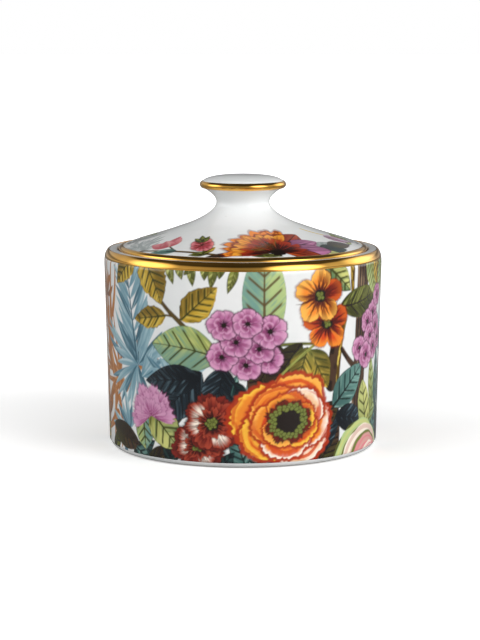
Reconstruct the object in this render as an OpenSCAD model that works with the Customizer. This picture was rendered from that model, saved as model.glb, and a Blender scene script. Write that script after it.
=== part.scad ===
// Lidded sugar bowl in glazed porcelain, in millimetres.
// A straight-sided round bowl has a seat inside its rim, and a lid with a waisted
// knob drops into that seat. Gold bands are fired on the rim, on the edge of the
// lid and round the knob, and printed transfers cover the wall and the lid.
// +Z is up, the table is z = 0, and the axis of the bowl is x = y = 0.

/* [Bowl] */
// outside diameter of the bowl at the rim
bowl_d = 100; // [80:1:140]
// height of the rim above the table
bowl_h = 71.5; // [55:0.5:100]
// how much the outside radius shrinks from the rim to the table
taper = 1.6; // [0:0.1:4]
// thickness of the wall
wall = 3.2; // [2.4:0.1:5]
// thickness of the floor above the hollow of the foot
floor_t = 4; // [3:0.1:7]
// radius of the outside corner between the wall and the foot
corner_r = 3; // [1.5:0.1:6]
// radius of the inside corner between the wall and the floor
inner_corner_r = 9; // [4:0.5:16]

/* [Foot] */
// width of the flat ring that stands on the table
foot_w = 3; // [2:0.1:6]
// depth of the hollow inside the foot ring
foot_hollow = 1.2; // [0.6:0.1:3]

/* [Rim and seat] */
// width of the rounded outer edge of the rim
rim_round_w = 1.9; // [1:0.1:3]
// height of the rounded outer edge of the rim
rim_round_h = 4.6; // [3:0.1:6]
// width of the rim from the outside to the wall of the seat
rim_w = 4.7; // [4:0.1:7]
// depth of the seat below the top of the rim
seat_drop = 2.2; // [1.5:0.1:4]
// width of the ledge that carries the lid
seat_w = 3.2; // [2:0.1:6]
// thickness of the ledge at its inner edge
ledge_t = 2.6; // [2:0.1:5]
// height over which the ledge runs back into the wall
ledge_blend = 4.5; // [2:0.1:8]

/* [Lid] */
// play around the lid in its seat, on the radius
lid_play = 0.5; // [0.4:0.05:1.5]
// how far the edge of the lid stands above the rim
lid_proud = 1; // [0.4:0.1:2.5]
// width of the rounded top edge of the lid
lid_round_w = 1.6; // [0.8:0.1:3]
// height of the rounded top edge of the lid
lid_round_h = 1.1; // [0.5:0.1:1.8]
// thickness of the lid
lid_wall = 3; // [2.4:0.1:4]
// height from the edge of the lid up to the narrowest part of the neck
lid_rise = 15.8; // [10:0.2:26]
// play around the ring under the lid, on the radius
ring_play = 0.8; // [0.5:0.05:2]
// thickness of the ring under the lid
ring_t = 2.6; // [2:0.1:4]
// how far the ring reaches below the seat
ring_depth = 5; // [3:0.1:9]

/* [Knob] */
// diameter of the neck at its narrowest
neck_d = 19.2; // [16:0.2:26]
// diameter of the knob
knob_d = 30.8; // [24:0.2:44]
// height from the narrowest part of the neck up to the edge of the knob
knob_flare = 6.2; // [4:0.1:10]
// height of the domed top of the knob above its edge
knob_dome = 3.5; // [2.5:0.1:7]
// half the thickness of the rounded edge of the knob
knob_edge = 1.3; // [0.8:0.1:2.2]
// radius of the hollow cast inside the neck
neck_hollow_r = 5.6; // [3:0.1:6]

/* [Decoration] */
// thickness of the fired gold bands
gild_t = 0.2; // [0.1:0.05:0.3]
// height of the gold band on the outside of the rim
rim_gild_h = 2.9; // [1.5:0.1:3]
// height of the gold band on the edge of the lid
lid_gild_h = 1.9; // [1.2:0.1:2.4]
// thickness of the printed transfers
transfer_t = 0.15; // [0.1:0.05:0.3]
// height of the lower edge of the wall transfer
transfer_low = 2; // [1:0.1:6]
// radius of the plain middle of the lid, inside its transfer
lid_plain_r = 18; // [14:0.5:30]

/* [Hidden] */
$fn = 120;
// segments in a small rounded edge, in a softened corner and in a long curve
ROUND_STEPS = 6;
SOFT_STEPS = 3;
CURVE_STEPS = 14;
// radius at which the glaze softens a corner
SOFT = 0.5;
// half-angle of the knob's rounded edge
NOSE_TURN = 60;
// width of the plain strip between the lid's gold edge and its transfer
LID_STRIP = 0.6;
// pull of the lid's slope at its edge and at the neck, across and up
SLOPE_PULL_OUT = [-0.155, 0.16];
SLOPE_PULL_NECK = 0.46;
// pull of the lid's underside at its edge and at the neck, across and up
UNDER_PULL_OUT = [-0.17, 0.1];
UNDER_PULL_NECK = 0.52;
// pull of the knob's underside at the neck and at its edge
FLARE_PULL_NECK = 0.36;
FLARE_PULL_EDGE = [0.22, 0.1];
// pull of the knob's domed top at its edge, and how wide its crown stays flat
DOME_PULL_EDGE = [-0.09, 0.52];
CROWN_SHARE = 0.52;

bowl_r = bowl_d / 2;
base_r = bowl_r - taper;
floor_z = foot_hollow + floor_t;
round_z = bowl_h - rim_round_h;
rim_round = [bowl_r - rim_round_w, round_z];
rim_gild_z = bowl_h - rim_gild_h;
seat_r = bowl_r - rim_w;
seat_z = bowl_h - seat_drop;
ledge_r = seat_r - seat_w;
under_z = seat_z - ledge_t;
blend_z = under_z - ledge_blend;

lid_r = seat_r - lid_play;
lid_top_z = bowl_h + lid_proud;
lid_round = [lid_r - lid_round_w, lid_top_z - lid_round_h];
slope_foot = [lid_round[0], lid_top_z];
ring_r = ledge_r - ring_play;
ring_in_r = ring_r - ring_t;
ring_z = seat_z - ring_depth;
neck_r = neck_d / 2;
neck_z = lid_top_z + lid_rise;
neck = [neck_r, neck_z];
knob_r = knob_d / 2;
knob_edge_w = knob_edge * 1.25;
nose = [knob_r - knob_edge_w, neck_z + knob_flare];
crown = [0, nose[1] + knob_dome];
hollow_top = [neck_hollow_r, neck_z - 2];

// outside radius of the bowl's wall at height z, between its two rounded edges
function wall_r(z) = base_r + taper * z / round_z;

// points on an ellipse from angle a0 to angle a1
function arc(c, w, h, a0, a1, n = ROUND_STEPS) =
    [for (i = [0:n]) let (a = a0 + (a1 - a0) * i / n) c + [w * cos(a), h * sin(a)]];

// point at share t of a cubic curve with ends p and s
function cubic(p, q, r, s, t) =
    pow(1 - t, 3) * p + 3 * pow(1 - t, 2) * t * q + 3 * (1 - t) * t * t * r + t * t * t * s;

// points on a cubic curve from share t0 to share t1
function curve(p, q, r, s, t0 = 0, t1 = 1) =
    [for (i = [0:CURVE_STEPS]) cubic(p, q, r, s, t0 + (t1 - t0) * i / CURVE_STEPS)];

// the same points in the opposite order
function back(list) = [for (i = [len(list) - 1:-1:0]) list[i]];

// the same points moved by a step
function moved(list, step) = [for (p = list) p + step];

// the lid's slope, from its rounded edge up to the neck
function slope(t0 = 0, t1 = 1) =
    let (run = slope_foot[0] - neck_r)
    curve(slope_foot,
          slope_foot + [SLOPE_PULL_OUT[0] * run, SLOPE_PULL_OUT[1] * lid_rise],
          neck - [0, SLOPE_PULL_NECK * lid_rise], neck, t0, t1);

// share of the lid's slope at radius r, found by halving
function slope_share(r, lo = 0, hi = 1, n = 16) =
    let (mid = (lo + hi) / 2)
    n == 0 ? mid :
    slope(mid, mid)[0][0] > r ? slope_share(r, mid, hi, n - 1) : slope_share(r, lo, mid, n - 1);

// angle on the rim's rounded edge where the gold meets the transfer
rim_turn = asin((rim_gild_z - round_z) / rim_round_h);
// the rim's rounded edge below that angle, and above it
rim_low = arc(rim_round, rim_round_w, rim_round_h, 0, rim_turn);
rim_high = arc(rim_round, rim_round_w, rim_round_h, rim_turn, 90);

// angle on the lower corner where the transfer starts, or 0 when it starts on the wall
corner_turn = transfer_low < corner_r ? -asin(1 - transfer_low / corner_r) : 0;
corner = [wall_r(corner_r) - corner_r, corner_r];
// the lower corner above that angle, and the wall's point where the transfer starts
corner_high = transfer_low < corner_r
    ? arc(corner, corner_r, corner_r, corner_turn, 0)
    : [[wall_r(transfer_low), transfer_low]];

// shares of the lid's slope at the outer and the inner edge of the transfer
print_out = slope_share(slope_foot[0] - LID_STRIP);
print_in = slope_share(lid_plain_r);
// the rounded edge of the knob
knob_nose = arc(nose, knob_edge_w, knob_edge, -NOSE_TURN, NOSE_TURN);

module bowl() {
    foot_in = corner[0] - foot_w;
    inside = [wall_r(floor_z + inner_corner_r) - wall - inner_corner_r,
              floor_z + inner_corner_r];
    color("white") rotate_extrude() polygon(concat(
        [[0, foot_hollow], [foot_in - foot_hollow, foot_hollow], [foot_in, 0]],
        arc(corner, corner_r, corner_r, -90, corner_turn),
        corner_high, rim_low, rim_high,
        arc([seat_r + SOFT, bowl_h - SOFT], SOFT, SOFT, 90, 180, SOFT_STEPS),
        [[seat_r, seat_z]],
        arc([ledge_r + SOFT, seat_z - SOFT], SOFT, SOFT, 90, 180, SOFT_STEPS),
        [[ledge_r, under_z], [wall_r(blend_z) - wall, blend_z]],
        arc(inside, inner_corner_r, inner_corner_r, 0, -90),
        [[0, floor_z]]));
}

module bowl_rim_gilding() {
    color("gold") rotate_extrude() polygon(concat(
        arc(rim_round, rim_round_w + gild_t, rim_round_h + gild_t, rim_turn, 90),
        back(rim_high)));
}

module bowl_transfer() {
    skin = concat(corner_high, rim_low);
    color("olivedrab") rotate_extrude() polygon(concat(
        moved(skin, [transfer_t, 0]), back(skin)));
}

module lid() {
    under_foot = [ring_in_r, lid_top_z - lid_wall / 2];
    under_run = ring_in_r - neck_hollow_r;
    edge_low = knob_nose[0];
    edge_high = knob_nose[ROUND_STEPS];
    color("white") rotate_extrude() polygon(concat(
        arc([ring_in_r + SOFT, ring_z + SOFT], SOFT, SOFT, 180, 270, SOFT_STEPS),
        arc([ring_r - SOFT, ring_z + SOFT], SOFT, SOFT, -90, 0, SOFT_STEPS),
        [[ring_r, seat_z], [lid_r - SOFT, seat_z], [lid_r, seat_z + SOFT]],
        arc(lid_round, lid_round_w, lid_round_h, 0, 90),
        slope(print_out, print_in),
        slope(print_in, 1),
        curve(neck, neck + [0, FLARE_PULL_NECK * knob_flare],
              edge_low - FLARE_PULL_EDGE * knob_flare, edge_low),
        knob_nose,
        curve(edge_high,
              edge_high + [DOME_PULL_EDGE[0] * knob_r, DOME_PULL_EDGE[1] * knob_dome],
              crown + [CROWN_SHARE * knob_r, 0], crown),
        arc([0, hollow_top[1]], neck_hollow_r, 0.6 * neck_hollow_r, 90, 0),
        back(curve(under_foot,
                   under_foot + [UNDER_PULL_OUT[0] * under_run, UNDER_PULL_OUT[1] * lid_rise],
                   hollow_top - [0, UNDER_PULL_NECK * lid_rise], hollow_top))));
}

module lid_edge_gilding() {
    lid_gild_z = lid_top_z - lid_gild_h;
    color("gold") rotate_extrude() polygon(concat(
        [[lid_r, lid_gild_z], [lid_r + gild_t, lid_gild_z]],
        arc(lid_round, lid_round_w + gild_t, lid_round_h + gild_t, 0, 90),
        back(arc(lid_round, lid_round_w, lid_round_h, 0, 90))));
}

module knob_gilding() {
    color("gold") rotate_extrude() polygon(concat(
        arc(nose, knob_edge_w + gild_t, knob_edge + gild_t, -NOSE_TURN, NOSE_TURN),
        back(knob_nose)));
}

module lid_transfer() {
    skin = slope(print_out, print_in);
    color("olivedrab") rotate_extrude() polygon(concat(
        skin, back(moved(skin, [0, transfer_t]))));
}

bowl();
bowl_rim_gilding();
bowl_transfer();
lid();
lid_edge_gilding();
knob_gilding();
lid_transfer();
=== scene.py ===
"""Looks of a lidded porcelain sugar bowl: glazed white ware, gold lustre bands and a printed garden."""

import logging
import math
from abc import ABC, abstractmethod
from dataclasses import dataclass, field
from enum import Enum
from typing import ClassVar, Iterator

import bmesh
import bpy
import numpy as np
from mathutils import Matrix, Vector


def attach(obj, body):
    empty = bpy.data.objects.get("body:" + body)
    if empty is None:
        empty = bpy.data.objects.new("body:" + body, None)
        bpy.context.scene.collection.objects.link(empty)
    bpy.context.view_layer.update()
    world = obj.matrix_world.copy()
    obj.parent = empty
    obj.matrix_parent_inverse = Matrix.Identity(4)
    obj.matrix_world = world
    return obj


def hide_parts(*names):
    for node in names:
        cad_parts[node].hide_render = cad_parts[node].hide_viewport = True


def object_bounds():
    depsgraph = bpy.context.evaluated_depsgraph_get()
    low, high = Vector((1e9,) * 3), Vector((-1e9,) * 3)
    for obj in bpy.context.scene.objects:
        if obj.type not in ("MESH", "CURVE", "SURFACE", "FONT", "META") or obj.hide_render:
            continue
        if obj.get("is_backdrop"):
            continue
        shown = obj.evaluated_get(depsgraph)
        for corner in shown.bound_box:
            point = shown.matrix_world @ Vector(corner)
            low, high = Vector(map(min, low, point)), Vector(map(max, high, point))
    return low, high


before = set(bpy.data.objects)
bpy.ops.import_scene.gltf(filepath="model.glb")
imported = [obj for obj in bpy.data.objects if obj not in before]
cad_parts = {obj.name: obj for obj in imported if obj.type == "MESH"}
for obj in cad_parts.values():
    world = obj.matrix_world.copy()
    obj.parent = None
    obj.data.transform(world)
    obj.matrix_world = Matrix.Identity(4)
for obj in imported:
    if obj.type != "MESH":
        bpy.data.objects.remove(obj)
CAD_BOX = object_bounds()

log = logging.getLogger("sugar_bowl")

MM = 0.001
PRINT_LAYER = "Print"
BAKE_LAYER = "OFBake"
GLAZE_WHITE = "ebebea"

Point = tuple[float, float]
Array = np.ndarray
Socket = bpy.types.NodeSocket
Piece = bpy.types.Object
Material = bpy.types.Material
Mesh = bpy.types.Mesh


# ---- small sums


def linear(code: str) -> Array:
    """Turns a colour code into light values."""
    parts = np.array([int(code[i : i + 2], 16) for i in (0, 2, 4)]) / 255
    return np.where(parts <= 0.04045, parts / 12.92, ((parts + 0.055) / 1.055) ** 2.4)


def ease(x: Array) -> Array:
    """Clips to 0 and 1, and eases in and out between them."""
    x = np.clip(x, 0, 1)
    return x * x * (3 - 2 * x)


def blend(a: Array, b: Array, share: Array) -> Array:
    """Mixes colour b into colour a by a share at each cell."""
    return a + (b - a) * share[..., None]


def cover(depth: Array, soft: float) -> Array:
    """Share of ink at a depth inside an edge that is soft over a width."""
    return ease(depth / soft + 0.5)


def _scatter(i: Array, j: Array, seed: int) -> Array:
    """Gives each whole-number cell its own value, by mixing its numbers.

    Args:
        i: numbers of the cells across.
        j: numbers of the cells along.
        seed: which pattern.

    Returns:
        Values from 0 to 1.
    """
    n = (i * 374761393 + j * 668265263 + seed * 362437) & 0xFFFFFFFF
    n = ((n ^ (n >> 13)) * 1274126177) & 0xFFFFFFFF
    return ((n ^ (n >> 16)) & 0xFFFF) / 65535


def grain(x: Array, y: Array, seed: int) -> Array:
    """Makes smooth, repeatable noise.

    Args:
        x: places across, where one unit is one patch of the noise.
        y: places along.
        seed: which pattern.

    Returns:
        Values from 0 to 1.
    """
    i = np.floor(x).astype(np.int64)
    j = np.floor(y).astype(np.int64)
    u = ease(x - i)
    v = ease(y - j)
    low = _scatter(i, j, seed) * (1 - u) + _scatter(i + 1, j, seed) * u
    high = _scatter(i, j + 1, seed) * (1 - u) + _scatter(i + 1, j + 1, seed) * u
    return low * (1 - v) + high * v


def halfway(a: Point, b: Point) -> Point:
    """The point midway between two."""
    return ((a[0] + b[0]) / 2, (a[1] + b[1]) / 2)


def weigh(weights: tuple[float, ...], points: tuple[Point, ...]) -> Point:
    """Adds up points, each by its own weight."""
    return tuple(sum(w * p[k] for w, p in zip(weights, points)) for k in (0, 1))


def arc(centre: Point, across: float, up: float, start: float, end: float, steps: int) -> list[Point]:
    """Follows an ellipse."""
    turns = [math.radians(start + (end - start) * i / steps) for i in range(steps + 1)]
    return [(centre[0] + across * math.cos(a), centre[1] + up * math.sin(a)) for a in turns]


def cubic(p: Point, q: Point, r: Point, s: Point, steps: int, span: Point = (0.0, 1.0)) -> list[Point]:
    """Follows a cubic curve.

    Args:
        p: start of the curve.
        q: point the start pulls towards.
        r: point the end pulls towards.
        s: end of the curve.
        steps: how many steps.
        span: first and last share of the curve to follow.

    Returns:
        The points in order.
    """
    found = []
    for i in range(steps + 1):
        t = span[0] + (span[1] - span[0]) * i / steps
        weights = ((1 - t) ** 3, 3 * (1 - t) ** 2 * t, 3 * (1 - t) * t * t, t**3)
        found.append(weigh(weights, (p, q, r, s)))
    return found


def straight(a: Point, b: Point, steps: int) -> list[Point]:
    """Divides a straight run into even steps, ends included."""
    return [(a[0] + (b[0] - a[0]) * i / steps, a[1] + (b[1] - a[1]) * i / steps) for i in range(steps + 1)]


def without_doubles(points: list[Point], gap: float = 0.01) -> list[Point]:
    """Drops each point that lies on the one before it.

    Args:
        points: the points in order.
        gap: least distance to keep, in millimetres.

    Returns:
        The points that are left.
    """
    kept = [points[0]]
    for p in points[1:]:
        if math.dist(p, kept[-1]) > gap:
            kept.append(p)
    return kept


# ---- inks


class Ink(Enum):
    """The inks of the printed garden."""

    PAPER = GLAZE_WHITE
    MUSTARD = "c7a236"
    MUSTARD_DEEP = "5a4315"
    MUSTARD_PALE = "e0c25a"
    OLIVE = "6d7034"
    OLIVE_DEEP = "3d3f18"
    OLIVE_PALE = "9aa04e"
    BARK = "4a3426"
    BARK_DEEP = "241710"
    BARK_PALE = "8b7259"
    TWIG = "5c4a24"
    LEAF = "9fb678"
    LEAF_PALE = "b9cb88"
    LEAF_DEEP = "5f7f54"
    TEAL = "6f9a90"
    TEAL_PALE = "9dbfb4"
    TEAL_DEEP = "3c605c"
    PINE = "27403f"
    PINE_DEEP = "11201f"
    NAVY = "26343d"
    NAVY_DEEP = "10151b"
    NAVY_PALE = "5a707a"
    LIME = "d3d380"
    LIME_DEEP = "8b8c3d"
    RIB = "5e4a2c"
    SKY = "a6c3cb"
    SKY_DEEP = "6a93a3"
    SKY_PALE = "cfe0e4"
    SLATE = "3f6272"
    MAUVE = "bb6f9c"
    MAUVE_PALE = "dc9fc2"
    MAUVE_DEEP = "934672"
    PLUM = "4d2440"
    LILAC_GREY = "c9b8cf"
    ORANGE = "f08a2c"
    ORANGE_PALE = "ffb84f"
    ORANGE_DEEP = "cf5a1d"
    AMBER = "f6a637"
    YELLOW = "ffca45"
    SCARLET = "d4461a"
    RED = "ad3417"
    RED_DEEP = "741c0d"
    BLOOD = "7f241b"
    BLOOD_DEEP = "4b130f"
    BRICK = "a9432f"
    ROSE = "dcae9f"
    CREAM = "fff0df"
    PEACH = "f6c79a"
    PINK = "e5868d"
    PINK_DEEP = "b33f4b"
    STAMEN = "77803a"
    STAMEN_DEEP = "3b3d17"
    COAL = "1d120d"
    RUST = "b0713f"
    RUST_PALE = "c98e58"
    RUST_DEEP = "80502c"
    ASH = "b4bab8"
    ASH_DEEP = "8b9391"

    @property
    def light(self) -> Array:
        """The ink's colour as linear light."""
        return linear(self.value)


@dataclass(frozen=True)
class Tint:
    """The inks that make up one leaf or petal: its two ends, its dark side, its streaks and its lines."""

    foot: Ink
    tip: Ink
    shade: Ink
    glow: Ink
    line: Ink


class Leafage(Tint, Enum):
    """The kinds of leaf in the garden."""

    MUSTARD = (Ink.MUSTARD, Ink.MUSTARD, Ink.MUSTARD_DEEP, Ink.MUSTARD_PALE, Ink.OLIVE_DEEP)
    TIP = (Ink.OLIVE_PALE, Ink.OLIVE, Ink.OLIVE_DEEP, Ink.LIME, Ink.OLIVE_DEEP)
    BROAD = (Ink.LEAF, Ink.LEAF_PALE, Ink.TEAL, Ink.LEAF_PALE, Ink.RIB)
    HALF = (Ink.OLIVE_PALE, Ink.LEAF, Ink.TEAL, Ink.LIME, Ink.OLIVE_DEEP)
    NAVY = (Ink.NAVY_DEEP, Ink.NAVY, Ink.NAVY_DEEP, Ink.NAVY_PALE, Ink.NAVY_DEEP)
    PINE = (Ink.PINE_DEEP, Ink.PINE, Ink.PINE_DEEP, Ink.TEAL_DEEP, Ink.NAVY_DEEP)
    UMBER = (Ink.OLIVE_DEEP, Ink.BARK, Ink.BARK_DEEP, Ink.OLIVE_DEEP, Ink.COAL)
    OLIVE = (Ink.OLIVE_DEEP, Ink.OLIVE, Ink.OLIVE_DEEP, Ink.OLIVE_PALE, Ink.COAL)
    KHAKI = (Ink.OLIVE, Ink.MUSTARD, Ink.OLIVE_DEEP, Ink.MUSTARD_PALE, Ink.OLIVE_DEEP)
    LIME = (Ink.LIME_DEEP, Ink.LIME, Ink.LEAF_DEEP, Ink.LIME, Ink.OLIVE_DEEP)
    TEAL = (Ink.TEAL_DEEP, Ink.TEAL, Ink.TEAL_DEEP, Ink.TEAL_PALE, Ink.PINE_DEEP)
    PALM = (Ink.SKY_DEEP, Ink.SKY, Ink.SKY_DEEP, Ink.SKY_PALE, Ink.SKY_DEEP)
    PALM_SHADE = (Ink.SLATE, Ink.SKY_DEEP, Ink.SLATE, Ink.SKY, Ink.SLATE)
    CORAL = (Ink.RUST_DEEP, Ink.RUST, Ink.RUST_DEEP, Ink.RUST_PALE, Ink.RUST)
    PALE = (Ink.LEAF_DEEP, Ink.LEAF_PALE, Ink.OLIVE_PALE, Ink.LIME, Ink.OLIVE)
    ASH = (Ink.ASH_DEEP, Ink.ASH, Ink.ASH_DEEP, Ink.PAPER, Ink.ASH_DEEP)


# ---- the printed sheet


@dataclass
class Cells:
    """A window of the sheet's cells, with their places and the width of a soft edge in millimetres."""

    colours: Array
    x: Array
    y: Array
    soft: float

    def lay(self, colour: Array, cover: Array) -> None:
        """Prints a colour over the cells by a share of cover at each."""
        share = np.clip(cover, 0, 1)[..., None]
        self.colours += share * (colour - self.colours)


@dataclass
class Sheet:
    """A printed transfer before it is laid on the ware, in millimetres.

    The copies say where else each motif falls: a turn of 1 or -1, then a step across.
    """

    left: float
    right: float
    low: float
    high: float
    step: float
    copies: tuple[tuple[int, float], ...] = ((1, 0.0),)
    soft: float = 0.3
    xs: Array = field(init=False)
    ys: Array = field(init=False)
    colours: Array = field(init=False)

    def __post_init__(self) -> None:
        """Lays out the sheet's cells in plain white."""
        self.xs = np.arange(self.left, self.right + self.step, self.step)
        self.ys = np.arange(self.low, self.high + self.step, self.step)
        self.colours = np.ones((len(self.ys), len(self.xs), 3)) * Ink.PAPER.light

    def near(self, centre: Point, reach: float) -> Iterator[Cells]:
        """Finds the cells round a point, once for each copy of it.

        Args:
            centre: the point, across and up.
            reach: how far round it to go.

        Yields:
            The windows of cells, with places as the motif sees them.
        """
        for turn, shift in self.copies:
            x = turn * centre[0] - shift
            y = turn * centre[1]
            c0, c1 = np.searchsorted(self.xs, (x - reach, x + reach))
            r0, r1 = np.searchsorted(self.ys, (y - reach, y + reach))
            if c1 > c0 and r1 > r0:
                across, up = np.meshgrid(self.xs[c0:c1], self.ys[r0:r1])
                yield Cells(self.colours[r0:r1, c0:c1], turn * (across + shift), turn * up, self.soft)

    def at(self, x: Array, y: Array) -> Array:
        """Reads the printed colour at places on the sheet.

        Args:
            x: places across.
            y: places up.

        Returns:
            Linear colours, one row for each place.
        """
        c = np.clip((x - self.xs[0]) / self.step, 0, len(self.xs) - 1.001)
        r = np.clip((y - self.ys[0]) / self.step, 0, len(self.ys) - 1.001)
        i = c.astype(int)
        j = r.astype(int)
        u = (c - i)[:, None]
        v = (r - j)[:, None]
        low = self.colours[j, i] * (1 - u) + self.colours[j, i + 1] * u
        high = self.colours[j + 1, i] * (1 - u) + self.colours[j + 1, i + 1] * u
        return low * (1 - v) + high * v


# ---- motifs


class Motif(ABC):
    """Anything that can be printed on a sheet."""

    @abstractmethod
    def print_on(self, sheet: Sheet) -> None:
        """Prints the motif.

        Args:
            sheet: the transfer it goes on.
        """


class Drawn(Motif):
    """A motif that inks the cells round it."""

    @abstractmethod
    def window(self) -> tuple[Point, float]:
        """Gives the middle of the motif and how far round it the motif reaches."""

    @abstractmethod
    def paint(self, cells: Cells) -> None:
        """Inks one window of cells.

        Args:
            cells: the window.
        """

    def print_on(self, sheet: Sheet) -> None:
        """Inks each window that a copy of the motif falls in."""
        for cells in sheet.near(*self.window()):
            self.paint(cells)


class Grown(Motif):
    """A motif made of smaller ones."""

    @abstractmethod
    def parts(self) -> Iterator[Motif]:
        """Gives the smaller motifs, from the back forwards."""

    def print_on(self, sheet: Sheet) -> None:
        """Prints each smaller motif over the ones before it."""
        for part in self.parts():
            part.print_on(sheet)


@dataclass(frozen=True)
class Lie:
    """How each cell lies on a blade.

    t is the share of the way to the tip, n the distance left of the rib, and wide half the width there.
    """

    t: Array
    n: Array
    run: float
    wide: Array

    @property
    def along(self) -> Array:
        """The share of the way, kept just inside the two ends."""
        return np.clip(self.t, 0.001, 0.999)

    @property
    def share(self) -> Array:
        """Distance from the rib as a share of the half width, -1 to 1 across the blade."""
        return self.n / np.maximum(self.wide, 0.05)

    @property
    def depth(self) -> Array:
        """Distance inside the outline."""
        return self.wide - abs(self.n)


@dataclass(frozen=True)
class Blade(Drawn):
    """A leaf or petal that runs from a foot to a tip.

    It is widest at the share fat of its length, its ends are squarer where blunt is less, and it bends by
    the share bow. The veins are that far apart and the other line sizes are half widths, with 0 for none.
    Its streaks run lengthways where it is radial, as on a petal.
    """

    foot: Point
    tip: Point
    half: float
    tint: Tint
    fat: float = 0.42
    blunt: float = 0.9
    bow: float = 0.0
    veins: float = 0.0
    vein: float = 0.36
    rib: float = 0.3
    edge: float = 0.3
    tooth: float = 0.0
    dark_side: int = 1
    shading: float = 0.7
    radial: bool = False
    seed: int = 1

    TOOTH_RUN: ClassVar[float] = 0.9
    VEIN_LEAN: ClassVar[float] = 0.9
    VEIN_SLANT: ClassVar[float] = 0.74
    LINE_SOFT: ClassVar[float] = 0.25

    def window(self) -> tuple[Point, float]:
        """Gives the blade's middle and its reach round that."""
        run = math.dist(self.foot, self.tip)
        return halfway(self.foot, self.tip), run / 2 + self.half + abs(self.bow) * run + 1

    def paint(self, cells: Cells) -> None:
        """Prints the blade's flesh, then its veins, rib and outline.

        Args:
            cells: the window.
        """
        lie = self._lie(cells)
        colour = self._flesh(lie)
        for mark in self._marks(lie):
            colour = blend(colour, self.tint.line.light, mark)
        cells.lay(colour, cover(lie.depth, cells.soft) * (lie.t > 0) * (lie.t < 1))

    def _lie(self, cells: Cells) -> Lie:
        """Finds how the cells lie on the blade.

        Args:
            cells: the window.

        Returns:
            The lie of each cell.
        """
        run = math.dist(self.foot, self.tip)
        ux = (self.tip[0] - self.foot[0]) / run
        uy = (self.tip[1] - self.foot[1]) / run
        dx = cells.x - self.foot[0]
        dy = cells.y - self.foot[1]
        t = (dx * ux + dy * uy) / run
        n = dy * ux - dx * uy - self.bow * run * 4 * t * (1 - t)
        along = np.clip(t, 0.001, 0.999)
        wide = self.half * np.sin(np.pi * along ** (math.log(0.5) / math.log(self.fat))) ** self.blunt
        notch = grain(along * run / self.TOOTH_RUN, np.sign(n) * 3, self.seed) - 0.5
        return Lie(t, n, run, wide * (1 + self.tooth * notch * 2))

    def _flesh(self, lie: Lie) -> Array:
        """Mixes the blade's colour from its foot, tip, shaded side and streaks.

        Args:
            lie: how each cell lies on the blade.

        Returns:
            The colour of each cell.
        """
        tint = self.tint
        if self.radial:
            streak = grain(lie.share * self.half * 1.5 + 40, lie.along * lie.run * 0.22, self.seed)
        else:
            away = abs(lie.n)
            streak = grain((lie.t * lie.run - away) / 0.7 + 60, away * 0.3 + 9 * (lie.n > 0), self.seed)
        side = ease(0.5 + self.dark_side * lie.share * 1.3)
        lit = ease((streak - 0.5) * 2.6) * 0.7 * (1 - 0.7 * side)
        colour = blend(tint.foot.light, tint.tip.light, ease(lie.along * 1.25))
        colour = blend(colour, tint.shade.light, side * self.shading)
        colour = blend(colour, tint.glow.light, lit)
        return blend(colour, tint.shade.light, ease((0.36 - streak) * 4) * 0.55)

    def _marks(self, lie: Lie) -> Iterator[Array]:
        """Draws the veins, the rib and the outline.

        Args:
            lie: how each cell lies on the blade.

        Yields:
            The line ink's share at each cell, for one kind of line at a time.
        """
        if self.veins:
            lean = (lie.t * lie.run - abs(lie.n) * self.VEIN_LEAN) / self.veins
            gap = abs(lean - np.round(lean)) * self.veins * self.VEIN_SLANT
            fade = ease((0.9 - abs(lie.share)) * 6) * ease((0.93 - lie.t) * 9) * ease((lie.t - 0.06) * 12)
            yield cover(self.vein - gap, 0.22) * fade * 0.9
        if self.rib:
            yield cover(self.rib * (1.25 - lie.t) - abs(lie.n), self.LINE_SOFT) * 0.95
        if self.edge:
            rough = ease(grain(lie.t * lie.run * 0.8, lie.n * 0 + 2, self.seed + 5) * 2.2 - 0.3)
            yield cover(self.edge - lie.depth, self.LINE_SOFT) * rough * 0.85


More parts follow.
